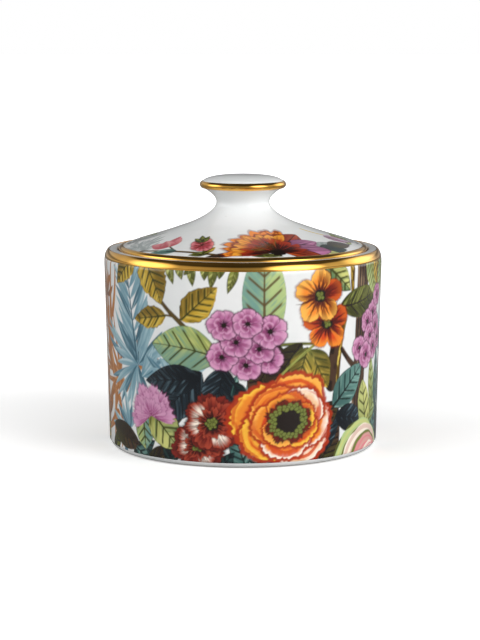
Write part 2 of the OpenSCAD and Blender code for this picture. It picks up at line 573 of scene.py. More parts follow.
@dataclass(frozen=True)
class Stroke(Drawn):
    """A drawn line that bends once, such as a stem or a twig."""

    start: Point
    bend: Point
    end: Point
    wide: Point
    ink: Ink
    glow: Ink | None = None
    seed: int = 1

    STEPS: ClassVar[int] = 14

    def line(self) -> list[Point]:
        """Follows the stroke.

        Returns:
            Points from its start to its end.
        """
        found = []
        for t in np.linspace(0, 1, self.STEPS + 1):
            found.append(weigh(((1 - t) ** 2, 2 * t * (1 - t), t * t), (self.start, self.bend, self.end)))
        return found

    def window(self) -> tuple[Point, float]:
        """Gives the stroke's middle and its reach round that."""
        line = self.line()
        middle = line[self.STEPS // 2]
        return middle, max(math.dist(middle, p) for p in line) + max(self.wide) + 1

    def paint(self, cells: Cells) -> None:
        """Prints the stroke, with paler hatching on one side where it has a glow.

        Args:
            cells: the window.
        """
        line = self.line()
        best = np.full(cells.x.shape, -9.0)
        side = np.zeros(cells.x.shape)
        along = np.zeros(cells.x.shape)
        travelled = 0.0
        for k, (a, b) in enumerate(zip(line, line[1:])):
            run = max(math.dist(a, b), 1e-6)
            ux, uy = (b[0] - a[0]) / run, (b[1] - a[1]) / run
            dx, dy = cells.x - a[0], cells.y - a[1]
            t = np.clip((dx * ux + dy * uy) / run, 0, 1)
            far = np.hypot(dx - t * run * ux, dy - t * run * uy)
            wide = self.wide[0] + (self.wide[1] - self.wide[0]) * (k + t) / self.STEPS
            inside = wide - far
            nearer = inside > best
            best = np.where(nearer, inside, best)
            side = np.where(nearer, (dx * uy - dy * ux) / wide, side)
            along = np.where(nearer, travelled + t * run, along)
            travelled += run
        colour = np.ones(cells.x.shape + (3,)) * self.ink.light
        if self.glow is not None:
            hatch = grain(along * 0.35, side * 2.2 + 7, self.seed)
            colour = blend(colour, self.glow.light, ease((hatch - 0.5) * 4) * ease(0.75 + side * 0.6))
        cells.lay(colour, cover(best, cells.soft))


@dataclass(frozen=True)
class Face:
    """How each cell lies on a flower, as shares of its size: u across, v up, r out, and a in degrees."""

    u: Array
    v: Array
    r: Array
    a: Array
    soft: float


@dataclass(frozen=True)
class Ring:
    """One ring of petals in a flower, as shares of the flower's size and degrees.

    Petals are squarer where lobe is less, and reach over each other where lap is over 1. Those numbered in
    pale are pale, and each petal has a dark line and a soft shadow under it.
    """

    out: float
    inside: float
    count: int
    heart: Ink
    body: Ink
    tip: Ink
    fleck: Ink
    line: Ink
    turn: float = 0.0
    lobe: float = 0.14
    lap: float = 1.25
    flecks: float = 0.6
    fringe: float = 0.0
    threads: float = 12.0
    pale: tuple[int, ...] = ()
    span: Point = (0.0, 360.0)
    swirl: bool = False
    shadow: float = 0.5
    shadow_reach: float = 0.06
    outline: float = 0.8

    def paint(self, cells: Cells, face: Face, seed: int) -> None:
        """Prints the ring, each petal over the one before.

        Args:
            cells: the window.
            face: how each cell lies on the flower.
            seed: which pattern of flecks.
        """
        first, last = self.span
        start = 0.5 if last - first < 360 else 0
        for j in range(self.count):
            aim = self.turn + first + (last - first) * (j + start) / self.count
            self._petal(cells, face, aim, j, seed)

    def _petal(self, cells: Cells, face: Face, aim: float, j: int, seed: int) -> None:
        """Prints one petal over its own shadow.

        Args:
            cells: the window.
            face: how each cell lies on the flower.
            aim: the petal's direction in degrees.
            j: its number in the ring.
            seed: which pattern of flecks.
        """
        half = (self.span[1] - self.span[0]) / self.count / 2 * self.lap
        e = ((face.a - aim + 180) % 360 - 180) / half
        reach = self.out * (1 + 0.1 * (_scatter(np.array(j), np.array(seed), 3) - 0.5))
        edge = reach * np.clip(np.cos(np.clip(e, -1, 1) * np.pi / 2), 0, 1) ** self.lobe
        jag = grain(face.a / 3.2 + 200, face.r * 0 + j, seed + 3) - 0.5
        ripple = grain(face.a / 14 + 60, face.r * 0 + j, seed + 4) - 0.5
        edge = edge * (1 + self.fringe * jag + 0.07 * ripple)
        shade = cover(edge * (1 + self.shadow_reach) - face.r, face.soft * 3) * (abs(e) < 1)
        cells.lay(self.line.light, shade * self.shadow)
        q = np.clip((face.r - self.inside) / np.maximum(edge - self.inside, 0.02), 0, 1)
        colour = self._flesh(face, e, q, j, seed)
        gap = np.minimum((edge - face.r) * 1.6, (1 - abs(e)) * face.r * math.radians(half))
        colour = blend(colour, self.line.light, cover(face.soft * 0.8 - gap, face.soft) * self.outline)
        cells.lay(colour, cover(edge - face.r, face.soft) * (abs(e) < 1))

    def _flesh(self, face: Face, e: Array, q: Array, j: int, seed: int) -> Array:
        """Mixes a petal's colour from its heart, body, tip and flecks.

        Args:
            face: how each cell lies on the flower.
            e: place across the petal, -1 to 1.
            q: place along the petal, 0 to 1.
            j: the petal's number in the ring.
            seed: which pattern of flecks.

        Returns:
            The colour of each cell.
        """
        heart, body = (Ink.PEACH, Ink.CREAM) if j in self.pale else (self.heart, self.body)
        colour = blend(heart.light, body.light, ease(q * 2.2))
        colour = blend(colour, self.tip.light, ease(q * 2.4 - 1.3))
        if self.swirl:
            threads = grain(e * 1.6 + 90, face.r * 15 + 2.2 * abs(e) + 3 * j, seed + j)
            reach_in = 1.15 - 0.35 * q
        else:
            threads = grain(e * self.threads + 90, q * 1.1, seed + j)
            reach_in = 1.15 - 0.85 * q
        colour = blend(colour, self.fleck.light, ease((threads - 0.54) * 9) * self.flecks * reach_in)
        return blend(colour, self.tip.light, ease((0.36 - threads) * 8) * 0.6)


@dataclass(frozen=True)
class Flower(Drawn):
    """A flower seen from its face: rings of petals round a dark heart, with rays and stamens."""

    centre: Point
    across: float
    up: float
    rings: tuple[Ring, ...]
    core: float = 0.14
    stamens: int = 0
    stamen_reach: Point = (0.16, 0.3)
    tilt: float = 0.0
    rays: int = 0
    ray_reach: float = 0.6
    ray_ink: Ink = Ink.BLOOD_DEEP
    seed: int = 1

    def window(self) -> tuple[Point, float]:
        """Gives the flower's middle and its reach round that."""
        return self.centre, max(self.across, self.up) * 1.15 + 1

    def paint(self, cells: Cells) -> None:
        """Prints the flower from its outer ring inwards.

        Args:
            cells: the window.
        """
        lean = math.radians(self.tilt)
        dx = cells.x - self.centre[0]
        dy = cells.y - self.centre[1]
        u = (dx * math.cos(lean) + dy * math.sin(lean)) / self.across
        v = (dy * math.cos(lean) - dx * math.sin(lean)) / self.up
        size = min(self.across, self.up)
        face = Face(u, v, np.hypot(u, v), np.degrees(np.arctan2(v, u)), cells.soft / size)
        for k, ring in enumerate(self.rings):
            ring.paint(cells, face, self.seed + 31 * k)
        if self.rays:
            self._print_rays(cells, face)
        if self.core:
            ragged = self.core * (1 + 0.25 * (grain(face.a / 16 + 30, face.r * 0, self.seed) - 0.5))
            cells.lay(Ink.COAL.light, cover(ragged - face.r, face.soft))
        for k in range(self.stamens):
            self._print_stamen(cells, face, k, size)

    def _print_rays(self, cells: Cells, face: Face) -> None:
        """Prints the dark rays that run out of the heart.

        Args:
            cells: the window.
            face: how each cell lies on the flower.
        """
        turn = face.a / 360 * self.rays + 0.25 * grain(face.r * 9, face.r * 0, self.seed)
        own = _scatter(np.round(turn).astype(np.int64) % self.rays, np.array(self.seed), 9)
        reach = self.ray_reach * (0.6 + 0.6 * own)
        aside = abs(turn - np.round(turn)) / self.rays * 2 * np.pi * face.r
        thick = 0.085 * np.clip(1.05 - face.r / reach, 0, 1)
        cells.lay(self.ray_ink.light, cover(thick - aside, face.soft) * (face.r < reach) * 0.9)

    def _print_stamen(self, cells: Cells, face: Face, k: int, size: float) -> None:
        """Prints one stamen as a dot with a dark edge.

        Args:
            cells: the window.
            face: how each cell lies on the flower.
            k: the stamen's number.
            size: the flower's smaller radius, in millimetres.
        """
        out = _scatter(np.array(k), np.array(self.seed), 5)
        aim = 2 * math.pi * (k + 0.5 * out) / self.stamens
        near, far = self.stamen_reach
        reach = near + (far - near) * (k * 0.618 % 1)
        away = np.hypot(face.u - reach * math.cos(aim), face.v - reach * math.sin(aim))
        dot = (0.45 + 0.25 * out) / size
        cells.lay(Ink.STAMEN_DEEP.light, cover(dot * 1.4 - away, face.soft) * 0.7)
        cells.lay(Ink.STAMEN.light, cover(dot - away, face.soft))


@dataclass(frozen=True)
class Fan(Grown):
    """Narrow leaflets that spread from one point between two directions, as on a palm or a coral."""

    foot: Point
    first: float
    last: float
    count: int
    long: Point
    half: float
    tints: tuple[Tint, ...]
    bow: float = 0.05
    seed: int = 1

    def parts(self) -> Iterator[Blade]:
        """Gives the leaflets in turn, bowed to one side and the other.

        Yields:
            Each leaflet.
        """
        for k in range(self.count):
            jitter = _scatter(np.array(k), np.array(self.seed), 7)
            even = self.first + (self.last - self.first) * k / max(self.count - 1, 1)
            aim = math.radians(even + 6 * (jitter - 0.5))
            run = self.long[0] + (self.long[1] - self.long[0]) * jitter
            tip = (self.foot[0] + run * math.cos(aim), self.foot[1] + run * math.sin(aim))
            bow = self.bow if k % 2 else -self.bow
            yield Blade(self.foot, tip, self.half, self.tints[k % len(self.tints)], fat=0.5, blunt=0.8,
                        bow=bow, rib=0.0, edge=0.0, shading=0.6, radial=True, seed=self.seed + k)


@dataclass(frozen=True)
class Frond(Grown):
    """A stem with leaflets on both sides, at an angle of spread degrees to it."""

    foot: Point
    tip: Point
    count: int
    long: Point
    half: float
    spread: float
    tints: tuple[Tint, ...]
    ink: Ink
    seed: int = 1

    def parts(self) -> Iterator[Motif]:
        """Gives the leaflets from the foot up, then the stem over them.

        Yields:
            Each leaflet, and the stem.
        """
        heading = math.degrees(math.atan2(self.tip[1] - self.foot[1], self.tip[0] - self.foot[0]))
        for k in range(self.count):
            share = (k + 0.5) / self.count
            spot = tuple(a + (b - a) * share for a, b in zip(self.foot, self.tip))
            run = self.long[0] + (self.long[1] - self.long[0]) * math.sin(math.pi * (0.25 + 0.6 * share))
            for side in (-1, 1):
                aim = heading + side * self.spread
                tint = self.tints[(k + (side > 0)) % len(self.tints)]
                seed = self.seed + 2 * k + side
                yield Fan(spot, aim, aim, 1, (run * 0.85, run), self.half, (tint,), seed=seed)
        yield Stroke(self.foot, halfway(self.foot, self.tip), self.tip, (0.45, 0.2), self.ink)


@dataclass(frozen=True)
class Trunk(Grown):
    """A length of bark with long dark grooves."""

    top: Point
    foot: Point
    wide: float
    pale: Ink = Ink.BARK_PALE
    seed: int = 1

    GROOVES: ClassVar[tuple[float, ...]] = (-0.55, -0.1, 0.35)

    def parts(self) -> Iterator[Stroke]:
        """Gives the bark, then its grooves.

        Yields:
            Each stroke.
        """
        middle = halfway(self.top, self.foot)
        ends = (self.top, (middle[0] + 0.6, middle[1]), self.foot)
        yield Stroke(*ends, (self.wide, self.wide), Ink.BARK, self.pale, self.seed)
        for share in self.GROOVES:
            step = share * self.wide
            yield Stroke(*((x + step, y) for x, y in ends), (0.35, 0.2), Ink.BARK_DEEP)


# ---- the garden


@dataclass(frozen=True)
class WallGarden:
    """The print round the wall: its length before it repeats, its height and its cells, in millimetres."""

    repeat: float = 50 * math.pi
    low: float = 2.0
    high: float = 69.0
    step: float = 0.25

    def sheet(self) -> Sheet:
        """Prints the whole garden, from the back forwards.

        Returns:
            The printed sheet.
        """
        half = self.repeat / 2
        shifts = ((1, 0.0), (1, self.repeat), (1, -self.repeat))
        sheet = Sheet(-half, half, self.low, self.high, self.step, shifts)
        rows = (
            self.corals, self.palms, self.undergrowth, self.trunks, self.branches,
            self.leaves, self.small_flowers, self.large_flowers)
        for row in rows:
            for motif in row():
                motif.print_on(sheet)
        return sheet

    def corals(self) -> list[Motif]:
        """The rust-coloured fronds at the left.

        Returns:
            The arms and their fronds.
        """
        coral = Leafage.CORAL
        arms = (
            ((-52, 27), (-62, 30), (-77, 36), 1.5), ((-52, 27), (-64, 25), (-78, 27), 1.4),
            ((-52, 27), (-62, 21), (-74, 14), 1.4), ((-52, 27), (-58, 18), (-64, 9), 1.2),
            ((-52, 27), (-58, 36), (-68, 45), 1.5), ((-53, 29), (-56, 38), (-59, 50), 1.1),
            ((-50, 25), (-44, 31), (-37, 42), 1.9), ((-44, 31), (-40, 34), (-32, 37), 1.2),
            ((-43, 32), (-41.5, 38), (-42.5, 44), 1.1), ((-61, 40), (-63, 55), (-60, 70), 2.0),
            ((-64, 44), (-71, 54), (-75, 68), 1.7), ((-60, 50), (-56, 58), (-56, 68), 1.3),
            ((-55, 20), (-52, 12), (-54, 3), 1.2), ((-62, 30), (-70, 31), (-77, 22), 1.0),
            ((-58, 30), (-68, 34), (-74, 48), 1.9), ((-64, 36), (-66, 50), (-66, 71), 2.2),
            ((-60, 24), (-68, 18), (-72, 4), 1.8), ((-58, 22), (-60, 12), (-61, 1), 1.5),
            ((-68, 28), (-74, 36), (-78, 46), 2.0), ((-64, 18), (-72, 12), (-79, 12), 1.8),
            ((-72, 44), (-68, 58), (-70, 71), 3.2), ((-76, 20), (-76, 44), (-75, 71), 4.6),
            ((-70, 10), (-66, 22), (-72, 36), 2.8), ((-60, 30), (-66, 40), (-64, 52), 2.2),
            ((-57, 14), (-66, 8), (-74, 6), 2.2), ((-55, 26), (-52, 34), (-53, 41), 1.5))
        found: list[Motif] = [
            Stroke(a, b, c, (wide, 0.35), Ink.RUST, Ink.RUST_PALE, 3 + k)
            for k, (a, b, c, wide) in enumerate(arms)]
        found += [
            Fan((-66, 56), 30, 150, 6, (6, 11), 1.2, (coral,), 0.1, 18),
            Fan((-68, 12), 60, 170, 5, (7, 13), 1.3, (coral,), 0.1, 19)]
        return found

    def palms(self) -> list[Motif]:
        """The blue palm fronds behind the left flowers.

        Returns:
            The fronds.
        """
        both = (Leafage.PALM, Leafage.PALM_SHADE, Leafage.PALM)
        return [
            Fan((-42, 34), 12, 76, 8, (16, 28), 1.35, both, 0.03, 21),
            Fan((-42, 34), 104, 168, 9, (16, 28), 1.35, both, 0.03, 22),
            Frond((-42.5, 36), (-47, 66), 8, (10, 18), 1.3, 36, both, Ink.SLATE, 24),
            Fan((-42, 34), 184, 300, 11, (12, 21), 1.25, both, 0.03, 28),
            Fan((-40, 30), 20, 60, 4, (10, 14), 1.4, both, 0.03, 29),
            Fan((-48, 10), 60, 250, 11, (8, 15), 1.2, both, 0.03, 23),
            Fan((-26, 30), 20, 160, 9, (8, 15), 1.3, both, 0.03, 25),
            Fan((2, 20), 60, 170, 8, (7, 13), 1.5, (Leafage.TEAL,), 0.03, 26),
            Fan((72, 34), 50, 140, 9, (12, 22), 1.4, both, 0.03, 27)]

    def undergrowth(self) -> list[Motif]:
        """The dark and teal leaves low down between the flowers.

        Returns:
            The leaves.
        """
        teal, pine, umber, navy = Leafage.TEAL, Leafage.PINE, Leafage.UMBER, Leafage.NAVY
        rows = (
            ((-46, 0), (-34, 8), 3.6, pine), ((-38, 1), (-22, 6), 3.4, umber),
            ((-34, 12), (-22, 17), 2.6, umber), ((-28, 0), (-24, 16), 4.0, pine),
            ((-24, -2), (-10, 6), 4.0, teal), ((-8, -2), (2, 8), 3.4, teal), ((2, -2), (-5, 17), 3.6, teal),
            ((-7, 14), (3, 25), 3.6, teal), ((-10, -2), (-3, 6), 2.6, pine), ((2, 3), (14, -2), 4.0, teal),
            ((20, -2), (34, 8), 5.0, umber), ((28, -1), (38, 14), 5.0, umber), ((30, 4), (37, 24), 4.0, navy),
            ((-62, 0), (-54, 10), 3.0, Leafage.OLIVE), ((60, 0), (66, 20), 4.6, teal),
            ((74, 0), (66, 18), 4.6, pine), ((70, 16), (78, 30), 4.0, teal),
            ((56, 10), (66, 26), 4.0, Leafage.PALE), ((-76, -2), (-68, 12), 4.4, Leafage.KHAKI),
            ((24, 12), (38, 22), 5.0, umber), ((-6, 22), (-2, 33), 3.0, teal))
        return [Blade(a, b, half, tint, veins=2.8, seed=31 + k) for k, (a, b, half, tint) in enumerate(rows)]

    def trunks(self) -> list[Motif]:
        """The tree trunks at the right.

        Returns:
            The trunks and their side shoots.
        """
        return [
            Trunk((50.2, 71), (47.8, 12), 3.8, seed=51),
            Trunk((58.5, 71), (57.0, 50), 1.9, Ink.MUSTARD, seed=52),
            Stroke((43.4, 71), (43.2, 65), (43.6, 60), (1.4, 0.9), Ink.MUSTARD_DEEP, Ink.MUSTARD, 53),
            Stroke((37.0, 48), (34.8, 40), (33.6, 28), (2.6, 2.6), Ink.BARK, Ink.BARK_DEEP, 54),
            Stroke((39.8, 50), (37.2, 42), (36.6, 29), (0.9, 0.8), Ink.MUSTARD_DEEP, Ink.MUSTARD_PALE, 55),
            Stroke((38.4, 40), (41.4, 36), (45.0, 33.4), (0.9, 1.2), Ink.BARK, Ink.BARK_DEEP, 56),
            Trunk((76, 71), (71, 24), 2.4, seed=57)]

    def branches(self) -> list[Motif]:
        """The thin brown twigs.

        Returns:
            The twigs.
        """
        return [
            Stroke((-40, 71), (-33.5, 60), (-25.6, 53), (0.5, 0.8), Ink.TWIG, Ink.BARK, 61),
            Stroke((-26.5, 53.8), (-21, 49.5), (-17.5, 45.5), (0.8, 1.0), Ink.TWIG, Ink.BARK, 62),
            Stroke((-22.8, 51), (-20, 55.6), (-15, 58.5), (0.45, 0.3), Ink.TWIG),
            Stroke((-25.6, 52.5), (-29, 53), (-33, 52.4), (0.4, 0.25), Ink.TWIG),
            Stroke((12.7, 43.2), (20, 43.6), (26.4, 42.9), (0.6, 0.5), Ink.OLIVE, Ink.OLIVE_DEEP, 63),
            Stroke((26.4, 67.5), (28.4, 66), (29.4, 63), (0.7, 0.6), Ink.OLIVE, Ink.OLIVE_DEEP, 65)]

    def leaves(self) -> list[Motif]:
        """The single leaves, from the back forwards.

        Returns:
            The leaves, and a stem that runs among them.
        """
        mustard, tip, broad = Leafage.MUSTARD, Leafage.TIP, Leafage.BROAD
        umber, khaki, olive = Leafage.UMBER, Leafage.KHAKI, Leafage.OLIVE
        navy, pine, teal, lime = Leafage.NAVY, Leafage.PINE, Leafage.TEAL, Leafage.LIME
        pale = Leafage.PALE
        hanging = (
            ((-27.5, 72), (-25.0, 63.6)), ((-23.6, 72), (-21.6, 65.4)), ((-18.6, 72), (-17.6, 63.2)),
            ((-13.2, 72), (-13.4, 65.4)), ((-9.8, 72), (-11.2, 62.4)), ((-2.0, 71), (-5.4, 61.0)),
            ((-16.0, 72), (-21.0, 67)), ((-7.2, 72), (-8.2, 66)))
        found: list[Motif] = [
            Blade(a, b, 1.7, tip, shading=0.6, rib=0.12, seed=70 + k) for k, (a, b) in enumerate(hanging)]
        found += [
            Blade((-43, 73), (-54.5, 61.5), 4.4, mustard, veins=2.6, tooth=0.1, dark_side=-1, seed=81),
            Blade((-38.6, 73), (-30, 56.2), 6.2, mustard, veins=3.2, tooth=0.08, bow=0.04, seed=82),
            Blade((-28.2, 52.6), (-43.2, 50.2), 4.0, mustard, veins=3.0, tooth=0.08, dark_side=-1, seed=83),
            Blade((-22.2, 51.4), (-8.8, 63.4), 5.4, mustard, veins=3.0, tooth=0.06, dark_side=1, seed=84),
            Blade((7.4, 42), (7.2, 77), 7.7, broad, fat=0.5, blunt=0.6, veins=5.0, vein=0.42, rib=0.5,
                  edge=0.12, shading=0.9, seed=85),
            Blade((-7, 38.5), (-34.5, 42.5), 8.0, Leafage.HALF, veins=5.0, vein=0.34, rib=0.3, fat=0.5,
                  dark_side=1, bow=-0.04, seed=86),
            Blade((13.0, 43.0), (2.6, 25.0), 6.6, umber, veins=3.4, blunt=0.75, seed=88),
            Blade((21.0, 43.5), (7.0, 26.0), 5.0, umber, veins=3.4, dark_side=-1, seed=87),
            Blade((24.0, 41.0), (32.0, 27.0), 5.6, khaki, veins=3.4, vein=0.34, seed=89),
            Blade((23.4, 42.0), (18.6, 27.0), 5.0, khaki, veins=3.4, vein=0.34, dark_side=-1, seed=79),
            Stroke((26, 42.6), (17, 37), (10.5, 29.5), (0.5, 0.35), Ink.OLIVE_PALE, Ink.OLIVE, 64),
            Blade((37, 55.0), (62.5, 59.5), 5.4, olive, veins=5.4, vein=0.26, bow=-0.05, dark_side=-1,
                  shading=0.9, seed=90),
            Blade((30.0, 70.6), (42.4, 60.2), 5.0, Leafage.LIME, veins=3.0, rib=0.5, edge=0.5, shading=1.0,
                  dark_side=-1, seed=91),
            Blade((34.6, 20.0), (50.6, 34.0), 5.8, teal, veins=3.8, vein=0.34, rib=0.4, shading=0.4, seed=92),
            Blade((36.0, 16.5), (52.5, 13.5), 5.0, navy, veins=3.4, vein=0.3, rib=0.35, dark_side=-1,
                seed=93),
            Blade((55.5, 7), (51.4, 27.5), 4.6, lime, fat=0.5, blunt=0.7, veins=3.8, rib=0.3, shading=0.25,
                seed=94),
            Blade((61, 16), (58, 36), 3.2, pale, veins=3.4, seed=95),
            Blade((66, 14), (65, 38), 3.6, teal, veins=3.4, seed=96),
            Blade((54.5, 73), (60.6, 56), 4.6, pale, veins=2.4, vein=0.42, seed=107),
            Blade((60.8, 72), (65.6, 58), 4.2, mustard, veins=2.6, seed=97),
            Blade((70, 71), (65.5, 55), 4.0, pale, veins=2.6, seed=98),
            Blade((-14.6, 33.8), (-32.5, 15.0), 7.6, navy, fat=0.46, blunt=0.85, veins=3.8, rib=0.3,
                  dark_side=-1, seed=99),
            Blade((-15.0, 31.5), (-38.0, 29.0), 5.4, navy, veins=3.4, rib=0.3, dark_side=-1, seed=100),
            Blade((-6.6, 35.5), (-10.2, 18.2), 6.4, navy, fat=0.5, blunt=0.6, veins=3.0, rib=0.3, seed=101),
            Blade((-3.5, 30.5), (1.0, 22.5), 2.8, pine, veins=2.8, seed=105),
            Blade((-39.8, 18.0), (-38.6, 4.0), 4.6, Leafage.HALF, fat=0.5, veins=3.0, rib=0.4, edge=0.4,
                  shading=1.0, seed=103),
            Blade((-35.6, 19.0), (-23.4, 6.0), 6.4, lime, fat=0.45, blunt=0.7, veins=4.0, rib=0.4, edge=0.4,
                  shading=0.4, seed=102),
            Blade((-61.0, 10.5), (-41.6, 5.0), 4.6, umber, fat=0.5, blunt=0.7, veins=3.6, rib=0.3, seed=104),
            Blade((-44, 4.5), (-36, 0), 2.6, teal, veins=2.6, seed=106)]
        return found

    def small_flowers(self) -> list[Motif]:
        """The mauve cluster, the orange pair and the mauve sprays.

        Returns:
            The flowers.
        """
        plum = (Ring(1.0, 0.1, 9, Ink.PLUM, Ink.PLUM, Ink.PLUM, Ink.COAL, Ink.PLUM, lobe=0.1, lap=1.3),)
        found: list[Motif] = [Flower((1.0, 43.6), 9.8, 9.4, plum, core=0.0, seed=199)]
        cluster = (
            ((9.2, 38.2), 5.6), ((1.0, 36.4), 6.0), ((-7.4, 39.2), 5.7), ((5.6, 42.0), 5.8),
            ((-2.4, 44.4), 5.8), ((9.4, 48.0), 6.5), ((-6.6, 50.2), 6.2), ((1.6, 50.8), 5.8))
        spray = (
            ((65.5, 41), 4.8), ((59, 50.6), 5.0), ((62.6, 45.4), 5.0), ((54.2, 48.0), 4.8),
            ((56.6, 42.8), 5.0), ((60.2, 38.6), 5.0), ((48.6, 39.2), 4.8), ((53.4, 36.2), 5.2),
            ((63.5, 56.5), 4.4))
        for k, (centre, size) in enumerate(cluster + spray):
            found.append(self._floret(centre, size * 0.95, 200 + k))
        found.append(self._five((31.2, 49.8), 9.8, Ink.SCARLET, Ink.ORANGE, 231, 20, (0, 1, 2)))
        found.append(self._five((28.0, 59.4), 9.9, Ink.ORANGE, Ink.ORANGE_PALE, 232, 16, (0,)))
        return found

    def _floret(self, centre: Point, size: float, seed: int) -> Flower:
        """One round mauve floret of the cluster.

        Args:
            centre: its middle.
            size: its radius.
            seed: which pattern of threads, and how far it is turned.

        Returns:
            The floret.
        """
        rings = (
            Ring(1.0, 0.12, 6, Ink.PLUM, Ink.MAUVE, Ink.MAUVE_PALE, Ink.MAUVE_DEEP, Ink.PLUM,
                 turn=seed * 37 % 72, lobe=0.12, lap=1.35, flecks=0.9, threads=2.5, fringe=0.05, shadow=1.0,
                 outline=0.45),
            Ring(0.62, 0.1, 3, Ink.PLUM, Ink.MAUVE_DEEP, Ink.MAUVE_PALE, Ink.MAUVE_DEEP, Ink.MAUVE_DEEP,
                 turn=seed * 53 % 120, lobe=0.16, lap=1.1, flecks=0.8, threads=2, span=(0, 230), shadow=0.2,
                 outline=0.3))
        return Flower(centre, size, size * 0.94, rings, core=0.15, rays=7, ray_reach=0.34,
                      ray_ink=Ink.PLUM, seed=seed)

    def _five(
        self, centre: Point, size: float, body: Ink, tip: Ink, seed: int, turn: float, red: tuple[int, ...]
    ) -> Flower:
        """One open flower of five petals.

        Args:
            centre: its middle.
            size: its radius.
            body: ink of the middle of a petal.
            tip: ink of the outer part of a petal.
            seed: which pattern of threads.
            turn: direction of the first petal in degrees.
            red: which petals are red.

        Returns:
            The flower.
        """
        rings = tuple(
            Ring(1.0, 0.1, 1, Ink.RED_DEEP, Ink.RED if k in red else body,
                 Ink.ORANGE_DEEP if k in red else tip, Ink.BLOOD_DEEP, Ink.RED_DEEP,
                 span=(turn + 72 * k - 36, turn + 72 * k + 36), lobe=0.26, lap=1.18, flecks=1.0, threads=5,
                 fringe=0.05)
            for k in range(5))
        return Flower(centre, size, size * 0.96, rings, core=0.24, stamens=9,
                      stamen_reach=(0.02, 0.13), rays=18, ray_reach=0.85, seed=seed)

    def large_flowers(self) -> list[Motif]:
        """The carnation, the anemones, the ranunculus and the striped lily.

        Returns:
            The flowers.
        """
        carnation = (
            Ring(1.0, 0.1, 6, Ink.MAUVE_DEEP, Ink.MAUVE, Ink.MAUVE_PALE, Ink.MAUVE_DEEP, Ink.MAUVE_DEEP,
                 span=(-20, 200), lobe=0.12, fringe=0.14, flecks=0.7, threads=6, outline=0.2),
            Ring(0.8, 0.0, 5, Ink.MAUVE_DEEP, Ink.MAUVE_PALE, Ink.MAUVE_PALE, Ink.MAUVE, Ink.MAUVE_DEEP,
                 span=(0, 185), lobe=0.14, fringe=0.16, flecks=0.9, threads=6, outline=0.2),
            Ring(0.56, 0.0, 4, Ink.MAUVE_DEEP, Ink.MAUVE, Ink.MAUVE_PALE, Ink.MAUVE_DEEP, Ink.MAUVE_DEEP,
                 span=(10, 170), lobe=0.16, fringe=0.2, flecks=0.8, threads=5, outline=0.2))
        red = (
            Ring(1.0, 0.2, 8, Ink.BLOOD_DEEP, Ink.BLOOD_DEEP, Ink.BLOOD, Ink.COAL, Ink.COAL,
                 turn=15, lobe=0.14, fringe=0.1, flecks=0.8, threads=8),
            Ring(0.86, 0.16, 7, Ink.BLOOD_DEEP, Ink.BLOOD, Ink.BRICK, Ink.BLOOD_DEEP, Ink.BLOOD_DEEP,
                 turn=40, lobe=0.16, fringe=0.14, flecks=0.9, threads=8, pale=(2, 3, 5)),
            Ring(0.54, 0.1, 9, Ink.COAL, Ink.BLOOD_DEEP, Ink.BRICK, Ink.COAL, Ink.BLOOD_DEEP,
                 lobe=0.3, fringe=0.3, flecks=0.9, threads=4))
        return [
            Flower((-35.6, 16.6), 9.8, 11.0, carnation, core=0.0, tilt=10, seed=301),
            Flower((-16.0, 7.8), 10.4, 9.4, red, core=0.2, stamens=14, stamen_reach=(0.02, 0.2), seed=302),
            Flower((-11.0, 15.8), 11.0, 10.6, red, core=0.24, stamens=16, stamen_reach=(0.02, 0.2), seed=303),
            *self._lily(),
            self._ranunculus((16.4, 16.4), 19.6, 16.4)]

    def _ranunculus(self, centre: Point, across: float, up: float) -> Flower:
        """The large orange flower low on the front: petals that lap each other in a spiral.

        Args:
            centre: its middle.
            across: half its width.
            up: half its height.

        Returns:
            The flower.
        """
        rings = []
        petals, golden_turn, first_aim, lit_from = 13, 137.5, 150, -42
        for k in range(petals):
            aim = (k * golden_turn + first_aim) % 360
            lit = math.cos(math.radians(aim - lit_from)) > 0.1
            deep = k > 8
            out = 1.03 - 0.043 * k
            tip = Ink.CREAM if lit and not deep else (Ink.YELLOW, Ink.AMBER, Ink.ORANGE_PALE)[k % 3]
            body = Ink.ORANGE_DEEP if deep else (Ink.PEACH if lit and k % 2 else Ink.ORANGE)
            rings.append(Ring(
                out, out - 0.26, 1, Ink.RED_DEEP if deep else Ink.SCARLET, body, tip, Ink.SCARLET, Ink.RED,
                span=(aim - 66, aim + 66), lobe=0.24, lap=1.0, flecks=0.9, fringe=0.07, swirl=True,
                shadow=0.95, shadow_reach=0.09, outline=0.0))
        rings.append(Ring(0.45, 0.2, 8, Ink.BLOOD_DEEP, Ink.BLOOD_DEEP, Ink.RED_DEEP, Ink.COAL, Ink.COAL,
                          turn=10, lobe=0.16, flecks=1.0, fringe=0.14, shadow=0.9))
        return Flower(centre, across, up, tuple(rings), core=0.28, stamens=54,
                      stamen_reach=(0.25, 0.37), tilt=12, seed=305)

